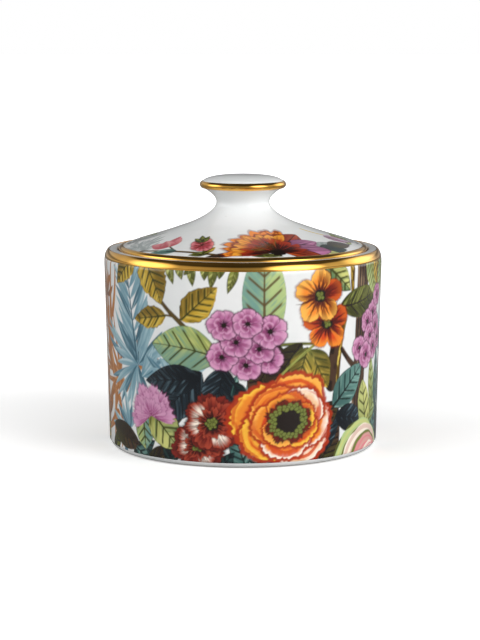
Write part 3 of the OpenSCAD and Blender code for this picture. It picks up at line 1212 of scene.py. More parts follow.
    def _lily(self) -> list[Motif]:
        """The striped pink flower at the lower right: domes of petal, one inside the other.

        Returns:
            The domes, largest first.
        """
        stripes = (
            (16.8, Ink.OLIVE, Ink.OLIVE_DEEP), (16.0, Ink.LEAF_PALE, Ink.LIME),
            (14.4, Ink.OLIVE, Ink.OLIVE_DEEP), (13.9, Ink.CREAM, Ink.ROSE), (11.4, Ink.STAMEN, Ink.OLIVE),
            (11.0, Ink.PINK, Ink.ROSE), (7.6, Ink.CREAM, Ink.ROSE), (6.4, Ink.PINK, Ink.CREAM))
        largest = stripes[0][0]
        found: list[Motif] = []
        for k, (size, ink, glow) in enumerate(stripes):
            ring = Ring(1.0, 0.2, 1, ink, ink, ink, glow, ink, span=(-179, 179), lobe=0.0, lap=1.0,
                        flecks=0.8, swirl=True, shadow=0.0, outline=0.0)
            centre = (51.0 + 0.85 * (largest - size), -4.2 + 0.1 * (largest - size))
            found.append(Flower(centre, size, size * 1.05, (ring,), core=0.0, tilt=18, seed=306 + k))
        return found


@dataclass(frozen=True)
class LidGarden:
    """The print on the lid as seen from above, in millimetres. Half of it repeats when turned."""

    reach: float = 44.0
    step: float = 0.22

    def sheet(self) -> Sheet:
        """Prints the lid's garden, from the back forwards.

        Returns:
            The printed sheet.
        """
        sheet = Sheet(-self.reach, self.reach, -self.reach, self.reach, self.step, ((1, 0.0), (-1, 0.0)))
        for motif in [*self.leaves(), *self.flowers()]:
            motif.print_on(sheet)
        return sheet

    def leaves(self) -> list[Motif]:
        """The stem, the ferns and the leaves.

        Returns:
            The stem, the ferns and the leaves.
        """
        ash, olive = Leafage.ASH, Leafage.OLIVE
        return [
            Fan((-38, -19), 20, 130, 9, (9, 17), 1.3, (ash,), 0.03, 401),
            Fan((-41, -6), 0, 90, 7, (8, 15), 1.3, (ash,), 0.03, 402),
            Fan((-35, -25), 50, 160, 6, (7, 12), 1.2, (ash,), 0.03, 403),
            Stroke((-36, -23), (-24, -34), (-6, -41.5), (0.45, 0.7), Ink.TWIG, Ink.BARK, 403),
            Stroke((-25.8, -25.6), (-25.4, -28), (-23.6, -32), (0.35, 0.4), Ink.OLIVE_DEEP),
            Stroke((-14.2, -31), (-14, -34), (-12.6, -38.4), (0.4, 0.5), Ink.OLIVE_DEEP),
            Blade((-23, -32.5), (-32.5, -28), 1.9, Leafage.TEAL, seed=404),
            Blade((-12, -38.4), (-19, -37.6), 1.7, olive, seed=405),
            Blade((-14, -38), (-9.5, -33.8), 1.8, Leafage.KHAKI, seed=406),
            Blade((-2, -40.5), (-13, -40.8), 1.6, Leafage.UMBER, seed=407),
            Blade((24, -30), (37, -16), 4.4, ash, veins=3.0, seed=408),
            Blade((27, -27.5), (36.8, -20.5), 3.6, Leafage.PINE, veins=2.6, seed=409),
            Blade((30, -22), (38, -12), 3.2, Leafage.UMBER, seed=410),
            Blade((22, -35.5), (34.5, -26.5), 3.4, Leafage.LIME, rib=0.3, shading=0.3, seed=411),
            Blade((38, -12), (31, 2), 3.2, Leafage.PALE, veins=2.4, seed=412),
            Stroke((20.5, -10), (25, -10.5), (31, -7.5), (0.4, 0.5), Ink.MUSTARD_PALE),
            Blade((2, -41), (14, -40), 1.6, olive, seed=413)]

    def flowers(self) -> list[Motif]:
        """The buds, the mauve petals and the large half-open flower.

        Returns:
            The buds, the petals and the flower.
        """
        petal = Tint(Ink.PLUM, Ink.MAUVE, Ink.PLUM, Ink.MAUVE_PALE, Ink.PLUM)
        rust = Tint(Ink.RED_DEEP, Ink.BRICK, Ink.BLOOD_DEEP, Ink.ORANGE_DEEP, Ink.BLOOD_DEEP)
        pink = Tint(Ink.PINK_DEEP, Ink.PINK, Ink.PINK_DEEP, Ink.ROSE, Ink.PINK_DEEP)
        grey = Tint(Ink.LILAC_GREY, Ink.LILAC_GREY, Ink.MAUVE, Ink.PAPER, Ink.MAUVE_DEEP)
        found: list[Motif] = [
            Blade((-26, -27), (-32, -20.5), 2.9, pink, radial=True, rib=0, seed=421),
            Blade((-26, -27), (-22.0, -18.0), 2.8, pink, radial=True, rib=0, seed=422),
            Blade((-26, -27.2), (-27, -19.6), 2.9, pink, radial=True, rib=0, seed=423),
            *self._berry((-14.2, -30.4)),
            Blade((28.5, -9.5), (39.5, -6.0), 2.6, grey, veins=0, radial=True, rib=0, seed=424),
            Blade((28.5, -11), (37.5, -10.5), 2.2, petal, radial=True, rib=0, seed=425)]
        foot = (12.5, -37)
        petals = ((72, 19.5, 4.8, rust), (50, 20.5, 4.2, petal), (28, 21.0, 4.8, petal), (6, 17.5, 3.8, rust))
        for k, (aim, run, half, tint) in enumerate(petals):
            tip = (foot[0] + run * math.cos(math.radians(aim)), foot[1] + run * math.sin(math.radians(aim)))
            found.append(Blade(foot, tip, half, tint, fat=0.6, rib=0.4, radial=True, edge=0.6, shading=0.4,
                               seed=430 + k))
        rings = (
            Ring(1.0, 0.3, 8, Ink.RED, Ink.ORANGE_DEEP, Ink.ORANGE, Ink.RED_DEEP, Ink.RED_DEEP,
                 span=(84, 196), lobe=0.1, fringe=0.07, flecks=1.0, threads=4, swirl=True),
            Ring(0.84, 0.2, 8, Ink.BLOOD_DEEP, Ink.ORANGE_DEEP, Ink.AMBER, Ink.RED_DEEP, Ink.RED_DEEP,
                 span=(80, 200), lobe=0.12, fringe=0.1, flecks=1.0, threads=4),
            Ring(0.64, 0.05, 9, Ink.COAL, Ink.BLOOD_DEEP, Ink.RED, Ink.COAL, Ink.BLOOD_DEEP,
                 span=(20, 205), lobe=0.2, fringe=0.2, flecks=1.0, threads=4))
        found.append(Flower((12.0, -37.5), 19.0, 17.5, rings, core=0.14, seed=440))
        return found

    def _berry(self, centre: Point) -> list[Motif]:
        """The round red bud with its green crown.

        Args:
            centre: middle of the bud.

        Returns:
            The bud and the leaves of its crown.
        """
        crown = Leafage.OLIVE
        ring = Ring(1.0, 0.0, 7, Ink.RED_DEEP, Ink.PINK_DEEP, Ink.PINK, Ink.BLOOD, Ink.BLOOD_DEEP,
                    lobe=0.1, flecks=1.0, threads=3)
        tips = ((-2.6, 6.8), (0.0, 8.4), (2.6, 6.8))
        leaves = [
            Blade((centre[0], centre[1] + 2), (centre[0] + x, centre[1] + y), 1.3, crown, rib=0, seed=445 + k)
            for k, (x, y) in enumerate(tips)]
        return [Flower(centre, 4.3, 6.0, (ring,), core=0.0, seed=441), *leaves]


# ---- finishes


class Nodes:
    """A small helper that adds and joins the nodes of one tree."""

    def __init__(self, tree: bpy.types.NodeTree) -> None:
        """Empties the tree."""
        self.tree = tree
        self.tree.nodes.clear()

    def add(self, kind: str, inputs: dict | None = None, **settings: object) -> bpy.types.Node:
        """Adds a node.

        Args:
            kind: the node's type.
            inputs: socket name or number to a value or to the socket that feeds it.
            settings: the node's own properties.

        Returns:
            The new node.
        """
        node = self.tree.nodes.new(kind)
        for name, value in settings.items():
            setattr(node, name, value)
        for name, value in (inputs or {}).items():
            if isinstance(value, Socket):
                self.tree.links.new(value, node.inputs[name])
            else:
                node.inputs[name].default_value = value
        return node

    def sum(self, operation: str, *values: object) -> Socket:
        """Adds a Math node."""
        return self.add("ShaderNodeMath", dict(enumerate(values)), operation=operation).outputs[0]

    def noise(self, place: Socket, scale: float, detail: float = 3.0) -> Socket:
        """Adds a noise texture."""
        inputs = {"Vector": place, "Scale": scale, "Detail": detail}
        return self.add("ShaderNodeTexNoise", inputs).outputs[0]

    def spread(self, value: Socket, low: float, high: float, to: Point) -> Socket:
        """Maps a value from one range to another and clips it."""
        inputs = {"Value": value, "From Min": low, "From Max": high, "To Min": to[0], "To Max": to[1]}
        return self.add("ShaderNodeMapRange", inputs).outputs[0]

    def tint(self, share: object, a: object, b: object, mode: str = "MIX") -> Socket:
        """Mixes two colours."""
        node = self.add("ShaderNodeMix", {0: share, 6: a, 7: b}, data_type="RGBA", blend_type=mode)
        return node.outputs[2]


def opaque(code: str) -> tuple[float, float, float, float]:
    """A colour code as the four values a colour socket takes."""
    return (*(float(c) for c in linear(code)), 1.0)


@dataclass(frozen=True)
class Finish(ABC):
    """One material, made of nodes placed by the object's own coordinates."""

    name: str

    @abstractmethod
    def surface(self, nodes: Nodes, place: Socket) -> dict[str, object]:
        """Builds what is particular to the finish.

        Args:
            nodes: the material's tree.
            place: each point's place on the object.

        Returns:
            The shader's inputs, each a value or a socket.
        """

    def material(self) -> Material:
        """Makes the material.

        Returns:
            The material.
        """
        made = bpy.data.materials.new(self.name)
        made.use_nodes = True
        nodes = Nodes(made.node_tree)
        inputs = self.surface(nodes, nodes.add("ShaderNodeTexCoord").outputs["Object"])
        shader = nodes.add("ShaderNodeBsdfPrincipled", inputs)
        nodes.add("ShaderNodeOutputMaterial", {"Surface": shader.outputs[0]})
        return made


@dataclass(frozen=True)
class Glazed(Finish):
    """A glossy glaze that pools a little and has a faint orange-peel relief."""

    def pooled(self, nodes: Nodes, place: Socket) -> Socket:
        """Gives the share of pooled glaze at each point."""
        return nodes.spread(nodes.noise(place, 38.0), 0.35, 0.7, (0.0, 1.0))

    def gloss(self, nodes: Nodes, place: Socket) -> dict[str, object]:
        """Builds the glaze's gloss and relief.

        Args:
            nodes: the material's tree.
            place: each point's place on the object.

        Returns:
            The shader's inputs apart from its colour.
        """
        fine = nodes.sum("MULTIPLY", nodes.noise(place, 420.0), 0.12)
        relief = nodes.sum("ADD", nodes.noise(place, 70.0, 2.0), fine)
        bump = nodes.add("ShaderNodeBump", {"Height": relief, "Strength": 0.06, "Distance": 0.0006})
        rough = nodes.spread(nodes.noise(place, 160.0), 0.3, 0.7, (0.07, 0.14))
        return {"Roughness": rough, "Normal": bump.outputs[0], "IOR": 1.5, "Specular IOR Level": 0.45}


@dataclass(frozen=True)
class Porcelain(Glazed):
    """White glazed porcelain with a few specks; the ring that stands on the table is bare."""

    name: str = "glazed_porcelain"
    white: str = GLAZE_WHITE
    cool: str = "e1e4e4"
    speck: str = "b9b7ae"
    bare: str = "cfc9bf"
    foot_height: float = 0.0006

    def surface(self, nodes: Nodes, place: Socket) -> dict[str, object]:
        """Builds the white body, its specks and the bare foot.

        Args:
            nodes: the material's tree.
            place: each point's place on the object.

        Returns:
            The shader's inputs.
        """
        height = nodes.add("ShaderNodeSeparateXYZ", {0: place}).outputs[2]
        foot = nodes.spread(height, self.foot_height, self.foot_height * 0.4, (0.0, 1.0))
        body = nodes.tint(self.pooled(nodes, place), opaque(self.white), opaque(self.cool))
        specks = nodes.spread(nodes.noise(place, 900.0, 1.0), 0.74, 0.8, (0.0, 0.25))
        body = nodes.tint(specks, body, opaque(self.speck))
        inputs = self.gloss(nodes, place)
        inputs["Base Color"] = nodes.tint(foot, body, opaque(self.bare))
        inputs["Roughness"] = nodes.sum("MAXIMUM", inputs["Roughness"], nodes.sum("MULTIPLY", foot, 0.75))
        return inputs


@dataclass(frozen=True)
class PrintedGlaze(Glazed):
    """The printed garden under the glaze: the colours come from the piece's own print layer."""

    name: str = "printed_glaze"
    worn: str = "b5b2ac"
    cool: str = "f6f9f9"

    def surface(self, nodes: Nodes, place: Socket) -> dict[str, object]:
        """Builds the inks, a little patchy, under the pooled glaze.

        Args:
            nodes: the material's tree.
            place: each point's place on the object.

        Returns:
            The shader's inputs.
        """
        layer = nodes.add("ShaderNodeAttribute", attribute_name=PRINT_LAYER, attribute_type="GEOMETRY")
        patchy = nodes.spread(nodes.noise(place, 260.0, 2.0), 0.3, 0.7, (0.0, 0.05))
        inked = nodes.tint(patchy, layer.outputs["Color"], opaque(self.worn), "MULTIPLY")
        inputs = self.gloss(nodes, place)
        inputs["Base Color"] = nodes.tint(self.pooled(nodes, place), inked, opaque(self.cool), "MULTIPLY")
        return inputs


@dataclass(frozen=True)
class GoldLustre(Finish):
    """Fired gold lustre, brushed on by hand, so it is thinner and redder in places."""

    name: str = "gold_lustre"
    full: str = "efba5c"
    thin: str = "d69a42"
    brush: tuple[float, float, float] = (40.0, 40.0, 900.0)

    def surface(self, nodes: Nodes, place: Socket) -> dict[str, object]:
        """Builds the metal, its thin patches and its brush marks.

        Args:
            nodes: the material's tree.
            place: each point's place on the object.

        Returns:
            The shader's inputs.
        """
        drawn = nodes.add("ShaderNodeMapping", {"Vector": place, "Scale": self.brush}).outputs[0]
        marks = nodes.noise(drawn, 1.0)
        patch = nodes.spread(nodes.noise(place, 55.0), 0.35, 0.72, (0.0, 0.7))
        bump = nodes.add("ShaderNodeBump", {"Height": marks, "Strength": 0.05, "Distance": 0.0003})
        return {
            "Base Color": nodes.tint(patch, opaque(self.full), opaque(self.thin)),
            "Metallic": 1.0,
            "Roughness": nodes.spread(marks, 0.3, 0.7, (0.04, 0.09)),
            "Normal": bump.outputs[0]}


@dataclass(frozen=True)
class PaleFloor(Finish):
    """The studio floor: it glows to the camera, more with distance, and is plain grey to the ware."""

    name: str = "pale_floor"
    pale: str = "fbfbfa"
    paler: str = "f8f8f7"
    reflected: str = "a3a3a2"

    def surface(self, nodes: Nodes, place: Socket) -> dict[str, object]:
        """Builds the floor's colour and glow.

        Args:
            nodes: the material's tree.
            place: each point's place on the floor.

        Returns:
            The shader's inputs.
        """
        colour = nodes.tint(nodes.noise(place, 6.0), opaque(self.pale), opaque(self.paler))
        away = nodes.add("ShaderNodeVectorMath", {0: place}, operation="LENGTH").outputs["Value"]
        seen = nodes.add("ShaderNodeLightPath").outputs["Is Camera Ray"]
        return {
            "Base Color": nodes.tint(seen, opaque(self.reflected), colour),
            "Roughness": 0.6,
            "Emission Color": (1.0, 1.0, 1.0, 1.0),
            "Emission Strength": nodes.sum("MULTIPLY", seen, nodes.spread(away, 0.05, 0.35, (0.36, 1.0)))}


# ---- turning and wrapping


def stand(name: str, data: bpy.types.ID) -> Piece:
    """Makes an object of a mesh, curve, light or camera, and puts it in the scene."""
    made = bpy.data.objects.new(name, data)
    bpy.context.scene.collection.objects.link(made)
    return made


class NodeTool:
    """A geometry node tree with named inputs, used on one helper object at a time."""

    name = "tool"

    def __init__(self) -> None:
        """Makes an empty tree with a geometry input and output."""
        self.tree = bpy.data.node_groups.new(self.name, "GeometryNodeTree")
        self.sockets: dict[str, str] = {}
        self.named("Geometry", "NodeSocketGeometry")
        self.tree.interface.new_socket(name="Geometry", in_out="OUTPUT", socket_type="NodeSocketGeometry")
        self.nodes = Nodes(self.tree)
        self.fill()

    def named(self, name: str, kind: str) -> None:
        """Adds a named input of a kind to the tree, and keeps its identifier."""
        socket = self.tree.interface.new_socket(name=name, in_out="INPUT", socket_type=kind)
        self.sockets[name] = socket.identifier

    def fill(self) -> None:
        """Builds the tree; each tool has its own."""
        raise NotImplementedError

    def finish(self, geometry: Socket, material: Socket) -> None:
        """Ends the tree with smooth faces, whole geometry and one material.

        Args:
            geometry: what the tree has made.
            material: the material input.
        """
        smooth = self.nodes.add("GeometryNodeSetShadeSmooth", {"Geometry": geometry}).outputs[0]
        whole = self.nodes.add("GeometryNodeRealizeInstances", {"Geometry": smooth}).outputs[0]
        inputs = {"Geometry": whole, "Material": material}
        dressed = self.nodes.add("GeometryNodeSetMaterial", inputs).outputs[0]
        self.nodes.add("NodeGroupOutput", {0: dressed})

    def run(self, name: str, mesh: Mesh, values: dict[str, object]) -> Piece:
        """Runs the tree on a mesh and keeps the plain result.

        Args:
            name: name of the finished piece.
            mesh: the mesh to start from.
            values: input name to value.

        Returns:
            The finished piece, with no modifier.
        """
        helper = stand(name + "_blank", mesh)
        modifier = helper.modifiers.new(self.name, "NODES")
        modifier.node_group = self.tree
        for key, value in values.items():
            modifier[self.sockets[key]] = value
        bpy.context.view_layer.update()
        graph = bpy.context.evaluated_depsgraph_get()
        plain = bpy.data.meshes.new_from_object(helper.evaluated_get(graph))
        plain.name = name
        bpy.data.objects.remove(helper)
        return stand(name, plain)


class Lathe(NodeTool):
    """Turns a profile round the bowl's axis."""

    name = "lathe"
    weld: float = 3e-6
    sharp_angle: float = 50

    def fill(self) -> None:
        """Lays a grid with one row for each profile point, and wraps its columns round the axis."""
        self.named("Rows", "NodeSocketInt")
        self.named("Columns", "NodeSocketInt")
        self.named("Material", "NodeSocketMaterial")
        nodes = self.nodes
        given = nodes.add("NodeGroupInput").outputs
        across = nodes.sum("ADD", given["Columns"], 1.0)
        size = {"Vertices X": given["Rows"], "Vertices Y": across}
        grid = nodes.add("GeometryNodeMeshGrid", size).outputs[0]
        index = nodes.add("GeometryNodeInputIndex").outputs[0]
        row = nodes.sum("FLOOR", nodes.sum("DIVIDE", nodes.sum("ADD", index, 0.5), across))
        column = nodes.sum("SUBTRACT", index, nodes.sum("MULTIPLY", row, across))
        place = nodes.add("GeometryNodeInputPosition").outputs[0]
        sample = nodes.add(
            "GeometryNodeSampleIndex", {"Geometry": given["Geometry"], "Value": place, "Index": row},
            data_type="FLOAT_VECTOR").outputs[0]
        parts = nodes.add("ShaderNodeSeparateXYZ", {0: sample}).outputs
        turn = nodes.sum("MULTIPLY", nodes.sum("DIVIDE", column, given["Columns"]), 2 * math.pi)
        x = nodes.sum("MULTIPLY", parts[0], nodes.sum("COSINE", turn))
        y = nodes.sum("MULTIPLY", parts[0], nodes.sum("SINE", turn))
        spun = nodes.add("ShaderNodeCombineXYZ", {0: x, 1: y, 2: parts[2]}).outputs[0]
        turned = nodes.add("GeometryNodeSetPosition", {"Geometry": grid, "Position": spun}).outputs[0]
        seam = {"Geometry": turned, "Distance": self.weld}
        closed = nodes.add("GeometryNodeMergeByDistance", seam).outputs[0]
        self.finish(closed, given["Material"])

    def turn(
        self, name: str, profile: list[Point], material: Material, columns: int
    ) -> Piece:
        """Turns one piece.

        Args:
            name: name of the piece.
            profile: radius and height of each point, in millimetres.
            material: its finish.
            columns: how many steps round the axis.

        Returns:
            The finished piece.
        """
        points = without_doubles(profile)
        mesh = bpy.data.meshes.new(name + "_profile")
        spots = [(r * MM, 0, z * MM) for r, z in points]
        mesh.from_pydata(spots, [(i, i + 1) for i in range(len(points) - 1)], [])
        piece = self.run(name, mesh, {"Rows": len(points), "Columns": columns, "Material": material})
        outwards(piece.data)
        piece.data.set_sharp_from_angle(angle=math.radians(self.sharp_angle))
        return piece


def outwards(mesh: Mesh) -> None:
    """Points the faces of a closed mesh outwards.

    Args:
        mesh: the mesh to mend.
    """
    work = bmesh.new()
    work.from_mesh(mesh)
    bmesh.ops.recalc_face_normals(work, faces=work.faces)
    if work.calc_volume(signed=True) < 0:
        bmesh.ops.reverse_faces(work, faces=work.faces)
    work.to_mesh(mesh)
    work.free()


class Wrapper(NodeTool):
    """Wraps a flat sheet round the bowl's axis, along a profile."""

    name = "transfer_wrap"

    def fill(self) -> None:
        """Places each point by its run along the profile, its run round the axis and its depth."""
        self.named("Profile", "NodeSocketObject")
        self.named("Radius", "NodeSocketFloat")
        self.named("Material", "NodeSocketMaterial")
        nodes = self.nodes
        given = nodes.add("NodeGroupInput").outputs
        curve = nodes.add("GeometryNodeObjectInfo", {"Object": given["Profile"]}).outputs["Geometry"]
        place = nodes.add("GeometryNodeInputPosition").outputs[0]
        flat = nodes.add("ShaderNodeSeparateXYZ", {0: place}).outputs
        sample = nodes.add("GeometryNodeSampleCurve", {"Curves": curve, "Length": flat[1]}, mode="LENGTH")
        sample.use_all_curves = True
        spot = nodes.add("ShaderNodeSeparateXYZ", {0: sample.outputs["Position"]}).outputs
        along = nodes.add("ShaderNodeSeparateXYZ", {0: sample.outputs["Tangent"]}).outputs
        radius = nodes.sum("ADD", spot[0], nodes.sum("MULTIPLY", along[2], flat[2]))
        height = nodes.sum("SUBTRACT", spot[2], nodes.sum("MULTIPLY", along[0], flat[2]))
        turn = nodes.sum("DIVIDE", flat[0], given["Radius"])
        x = nodes.sum("MULTIPLY", radius, nodes.sum("SINE", turn))
        y = nodes.sum("MULTIPLY", nodes.sum("MULTIPLY", radius, nodes.sum("COSINE", turn)), -1.0)
        spun = nodes.add("ShaderNodeCombineXYZ", {0: x, 1: y, 2: height}).outputs[0]
        inputs = {"Geometry": given["Geometry"], "Position": spun}
        wrapped = nodes.add("GeometryNodeSetPosition", inputs).outputs[0]
        self.finish(wrapped, given["Material"])


@dataclass
class Panel:
    """One flat piece of a transfer, closed at its edges and its back, in millimetres.

    It thins out over the feather at its upper and lower edge. The front fills most of the bake map, and
    the back a strip below it.
    """

    left: float
    right: float
    length: float
    columns: int
    rows: int
    feather: float
    thick: float = 0.15
    thinnest: float = 0.1
    back_rows: int = 12
    bake_across: Point = (0.002, 0.998)
    bake_front: Point = (0.03, 0.998)
    bake_back: Point = (0.018, 0.004)

    def mesh(self, name: str) -> Mesh:
        """Builds the flat panel: a fine front, a coarse back and four edges.

        Args:
            name: name of the mesh.

        Returns:
            The mesh, x across, y along the profile and z above the ware.
        """
        x = np.linspace(self.left, self.right, self.columns)
        y = np.linspace(0, self.length, self.rows)
        rows_kept = np.unique(np.round(np.linspace(0, self.rows - 1, self.back_rows)).astype(int))
        gx, gy = np.meshgrid(x, y)
        bx, by = np.meshgrid(x, y[rows_kept])
        proud = np.maximum(ease(np.minimum(gy, self.length - gy) / self.feather), self.thinnest)
        front = np.stack([gx, gy, self.thick * proud], -1).reshape(-1, 3)
        back = np.stack([bx, by, np.zeros_like(bx)], -1).reshape(-1, 3)
        nx, last = self.columns, self.columns - 1
        start = len(front)
        i, j = np.meshgrid(np.arange(last), np.arange(self.rows - 1))
        a = (j * nx + i).ravel()
        faces = np.stack([a, a + 1, a + nx + 1, a + nx], -1).tolist()
        i, j = np.meshgrid(np.arange(last), np.arange(len(rows_kept) - 1))
        b = (start + j * nx + i).ravel()
        faces += np.stack([b, b + nx, b + nx + 1, b + 1], -1).tolist()
        top, back_top = (self.rows - 1) * nx, start + (len(rows_kept) - 1) * nx
        faces += [[start + k, start + k + 1, k + 1, k] for k in range(last)]
        faces += [[top + k, top + k + 1, back_top + k + 1, back_top + k] for k in range(last)]
        for side in (0, last):
            rim = [r * nx + side for r in range(self.rows)]
            rim += [start + r * nx + side for r in reversed(range(len(rows_kept)))]
            faces.append(rim if side == 0 else rim[::-1])
        mesh = bpy.data.meshes.new(name)
        mesh.from_pydata((np.concatenate([front, back]) * MM).tolist(), [], faces)
        return mesh

    def dress(self, mesh: Mesh, colours: Array) -> None:
        """Gives the wrapped panel its print, its bake map and crisp edges.

        Args:
            mesh: the wrapped mesh, its points in the order the flat one had.
            colours: linear colour of each front point.
        """
        count = self.columns * self.rows
        layer = mesh.attributes.new(PRINT_LAYER, "FLOAT_COLOR", "POINT")
        full = np.ones((len(mesh.vertices), 4))
        full[:, :3] = Ink.PAPER.light
        full[:count, :3] = colours
        layer.data.foreach_set("color", full.astype(np.float32).ravel())
        across = np.tile(np.linspace(*self.bake_across, self.columns), len(mesh.vertices) // self.columns)
        up = np.empty(len(mesh.vertices))
        up[:count] = np.repeat(np.linspace(*self.bake_front, self.rows), self.columns)
        behind = (len(mesh.vertices) - count) // self.columns
        up[count:] = np.repeat(np.linspace(*self.bake_back, behind), self.columns)
        corners = np.empty(len(mesh.loops), np.int32)
        mesh.loops.foreach_get("vertex_index", corners)
        bake = mesh.uv_layers.new(name=BAKE_LAYER)
        spots = np.stack([across[corners], up[corners]], -1)
        bake.uv.foreach_set("vector", spots.astype(np.float32).ravel())
        ends = np.empty(len(mesh.edges) * 2, np.int32)
        mesh.edges.foreach_get("vertices", ends)
        ends = ends.reshape(-1, 2)
        column, row = ends % self.columns, ends // self.columns
        rim = (column == 0) | (column == self.columns - 1) | (row == 0) | (row == self.rows - 1)
        crease = (ends >= count).any(1) | (rim.all(1) & (ends < count).all(1))
        sharp = mesh.attributes.new("sharp_edge", "BOOLEAN", "EDGE")
        sharp.data.foreach_set("value", crease)


class Laying(Enum):
    """How a printed sheet lies on the ware."""

    UNROLLED = "unrolled round the axis"
    FROM_ABOVE = "seen from above"


@dataclass
class Transfer:
    """A printed transfer wrapped along a profile in several panels, in millimetres."""

    name: str
    profile: list[Point]
    radius: float
    panels: int
    columns: int
    rows: int
    feather: float
    laying: Laying

    def lay(self, wrapper: Wrapper, material: Material, sheet: Sheet) -> list[Piece]:
        """Wraps every panel and prints it.

        Args:
            wrapper: the tool that wraps a flat panel.
            material: the printed finish.
            sheet: the printed sheet.

        Returns:
            The finished panels.
        """
        steps = [math.dist(a, b) for a, b in zip(self.profile, self.profile[1:])]
        length = sum(steps)
        guide = self._guide()
        values = {"Profile": guide, "Radius": self.radius * MM, "Material": material}
        whole = 2 * math.pi * self.radius
        made = []
        for k in range(self.panels):
            left = -whole / 2 + whole * k / self.panels
            panel = Panel(left, left + whole / self.panels, length, self.columns, self.rows, self.feather)
            name = f"{self.name}_{k + 1}"
            piece = wrapper.run(name, panel.mesh(name + "_flat"), values)
            columns = np.linspace(left, panel.right, self.columns)
            across, up = np.meshgrid(columns, np.linspace(0, length, self.rows))
            panel.dress(piece.data, self._colours(sheet, across.ravel(), up.ravel(), steps))
            made.append(piece)
        bpy.data.objects.remove(guide)
        return made

    def _guide(self) -> Piece:
        """Draws the profile as a curve for the wrapper to follow.

        Returns:
            The curve's object.
        """
        curve = bpy.data.curves.new(self.name + "_line", "CURVE")
        curve.dimensions = "3D"
        spline = curve.splines.new("POLY")
        spline.points.add(len(self.profile) - 1)
        for spot, (r, z) in zip(spline.points, self.profile):
            spot.co = (r * MM, 0, z * MM, 1)
        return stand(self.name + "_line", curve)

    def _colours(self, sheet: Sheet, across: Array, up: Array, steps: list[float]) -> Array:
        """Reads the sheet at the panel's points.

        Args:
            sheet: the printed sheet.
            across: run round the axis, at the transfer's radius.
            up: run along the profile.
            steps: length of each step of the profile.

        Returns:
            Linear colours, one row for each point.
        """
        runs = np.concatenate([[0], np.cumsum(steps)])
        line = np.array(self.profile)
        height = np.interp(up, runs, line[:, 1])
        if self.laying is Laying.UNROLLED:
            width = sheet.right - sheet.left
            return sheet.at((across - sheet.left) % width + sheet.left, height)
        reach = np.interp(up, runs, line[:, 0])
        turn = across / self.radius
        return sheet.at(reach * np.sin(turn), -reach * np.cos(turn))


# ---- sub-assemblies


@dataclass
class Workshop:
    """The tools and finishes that the sub-assemblies share."""

    lathe: Lathe = field(default_factory=Lathe)
    wrapper: Wrapper = field(default_factory=Wrapper)
    porcelain: Material = field(default_factory=lambda: Porcelain().material())
    gold: Material = field(default_factory=lambda: GoldLustre().material())
    printed: Material = field(default_factory=lambda: PrintedGlaze().material())


def place(piece: Piece, body: str, node: str, finish: str) -> None:
    """Puts a finished piece on its body, in place of its CAD node.

    Args:
        piece: the finished piece.
        body: the body it rides on.
        node: the CAD node it stands for.
        finish: name of the record's material slot; not used.
    """
    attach(piece, body)
    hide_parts(node)
    log.info("%s: %d faces on %s", piece.name, len(piece.data.polygons), body)


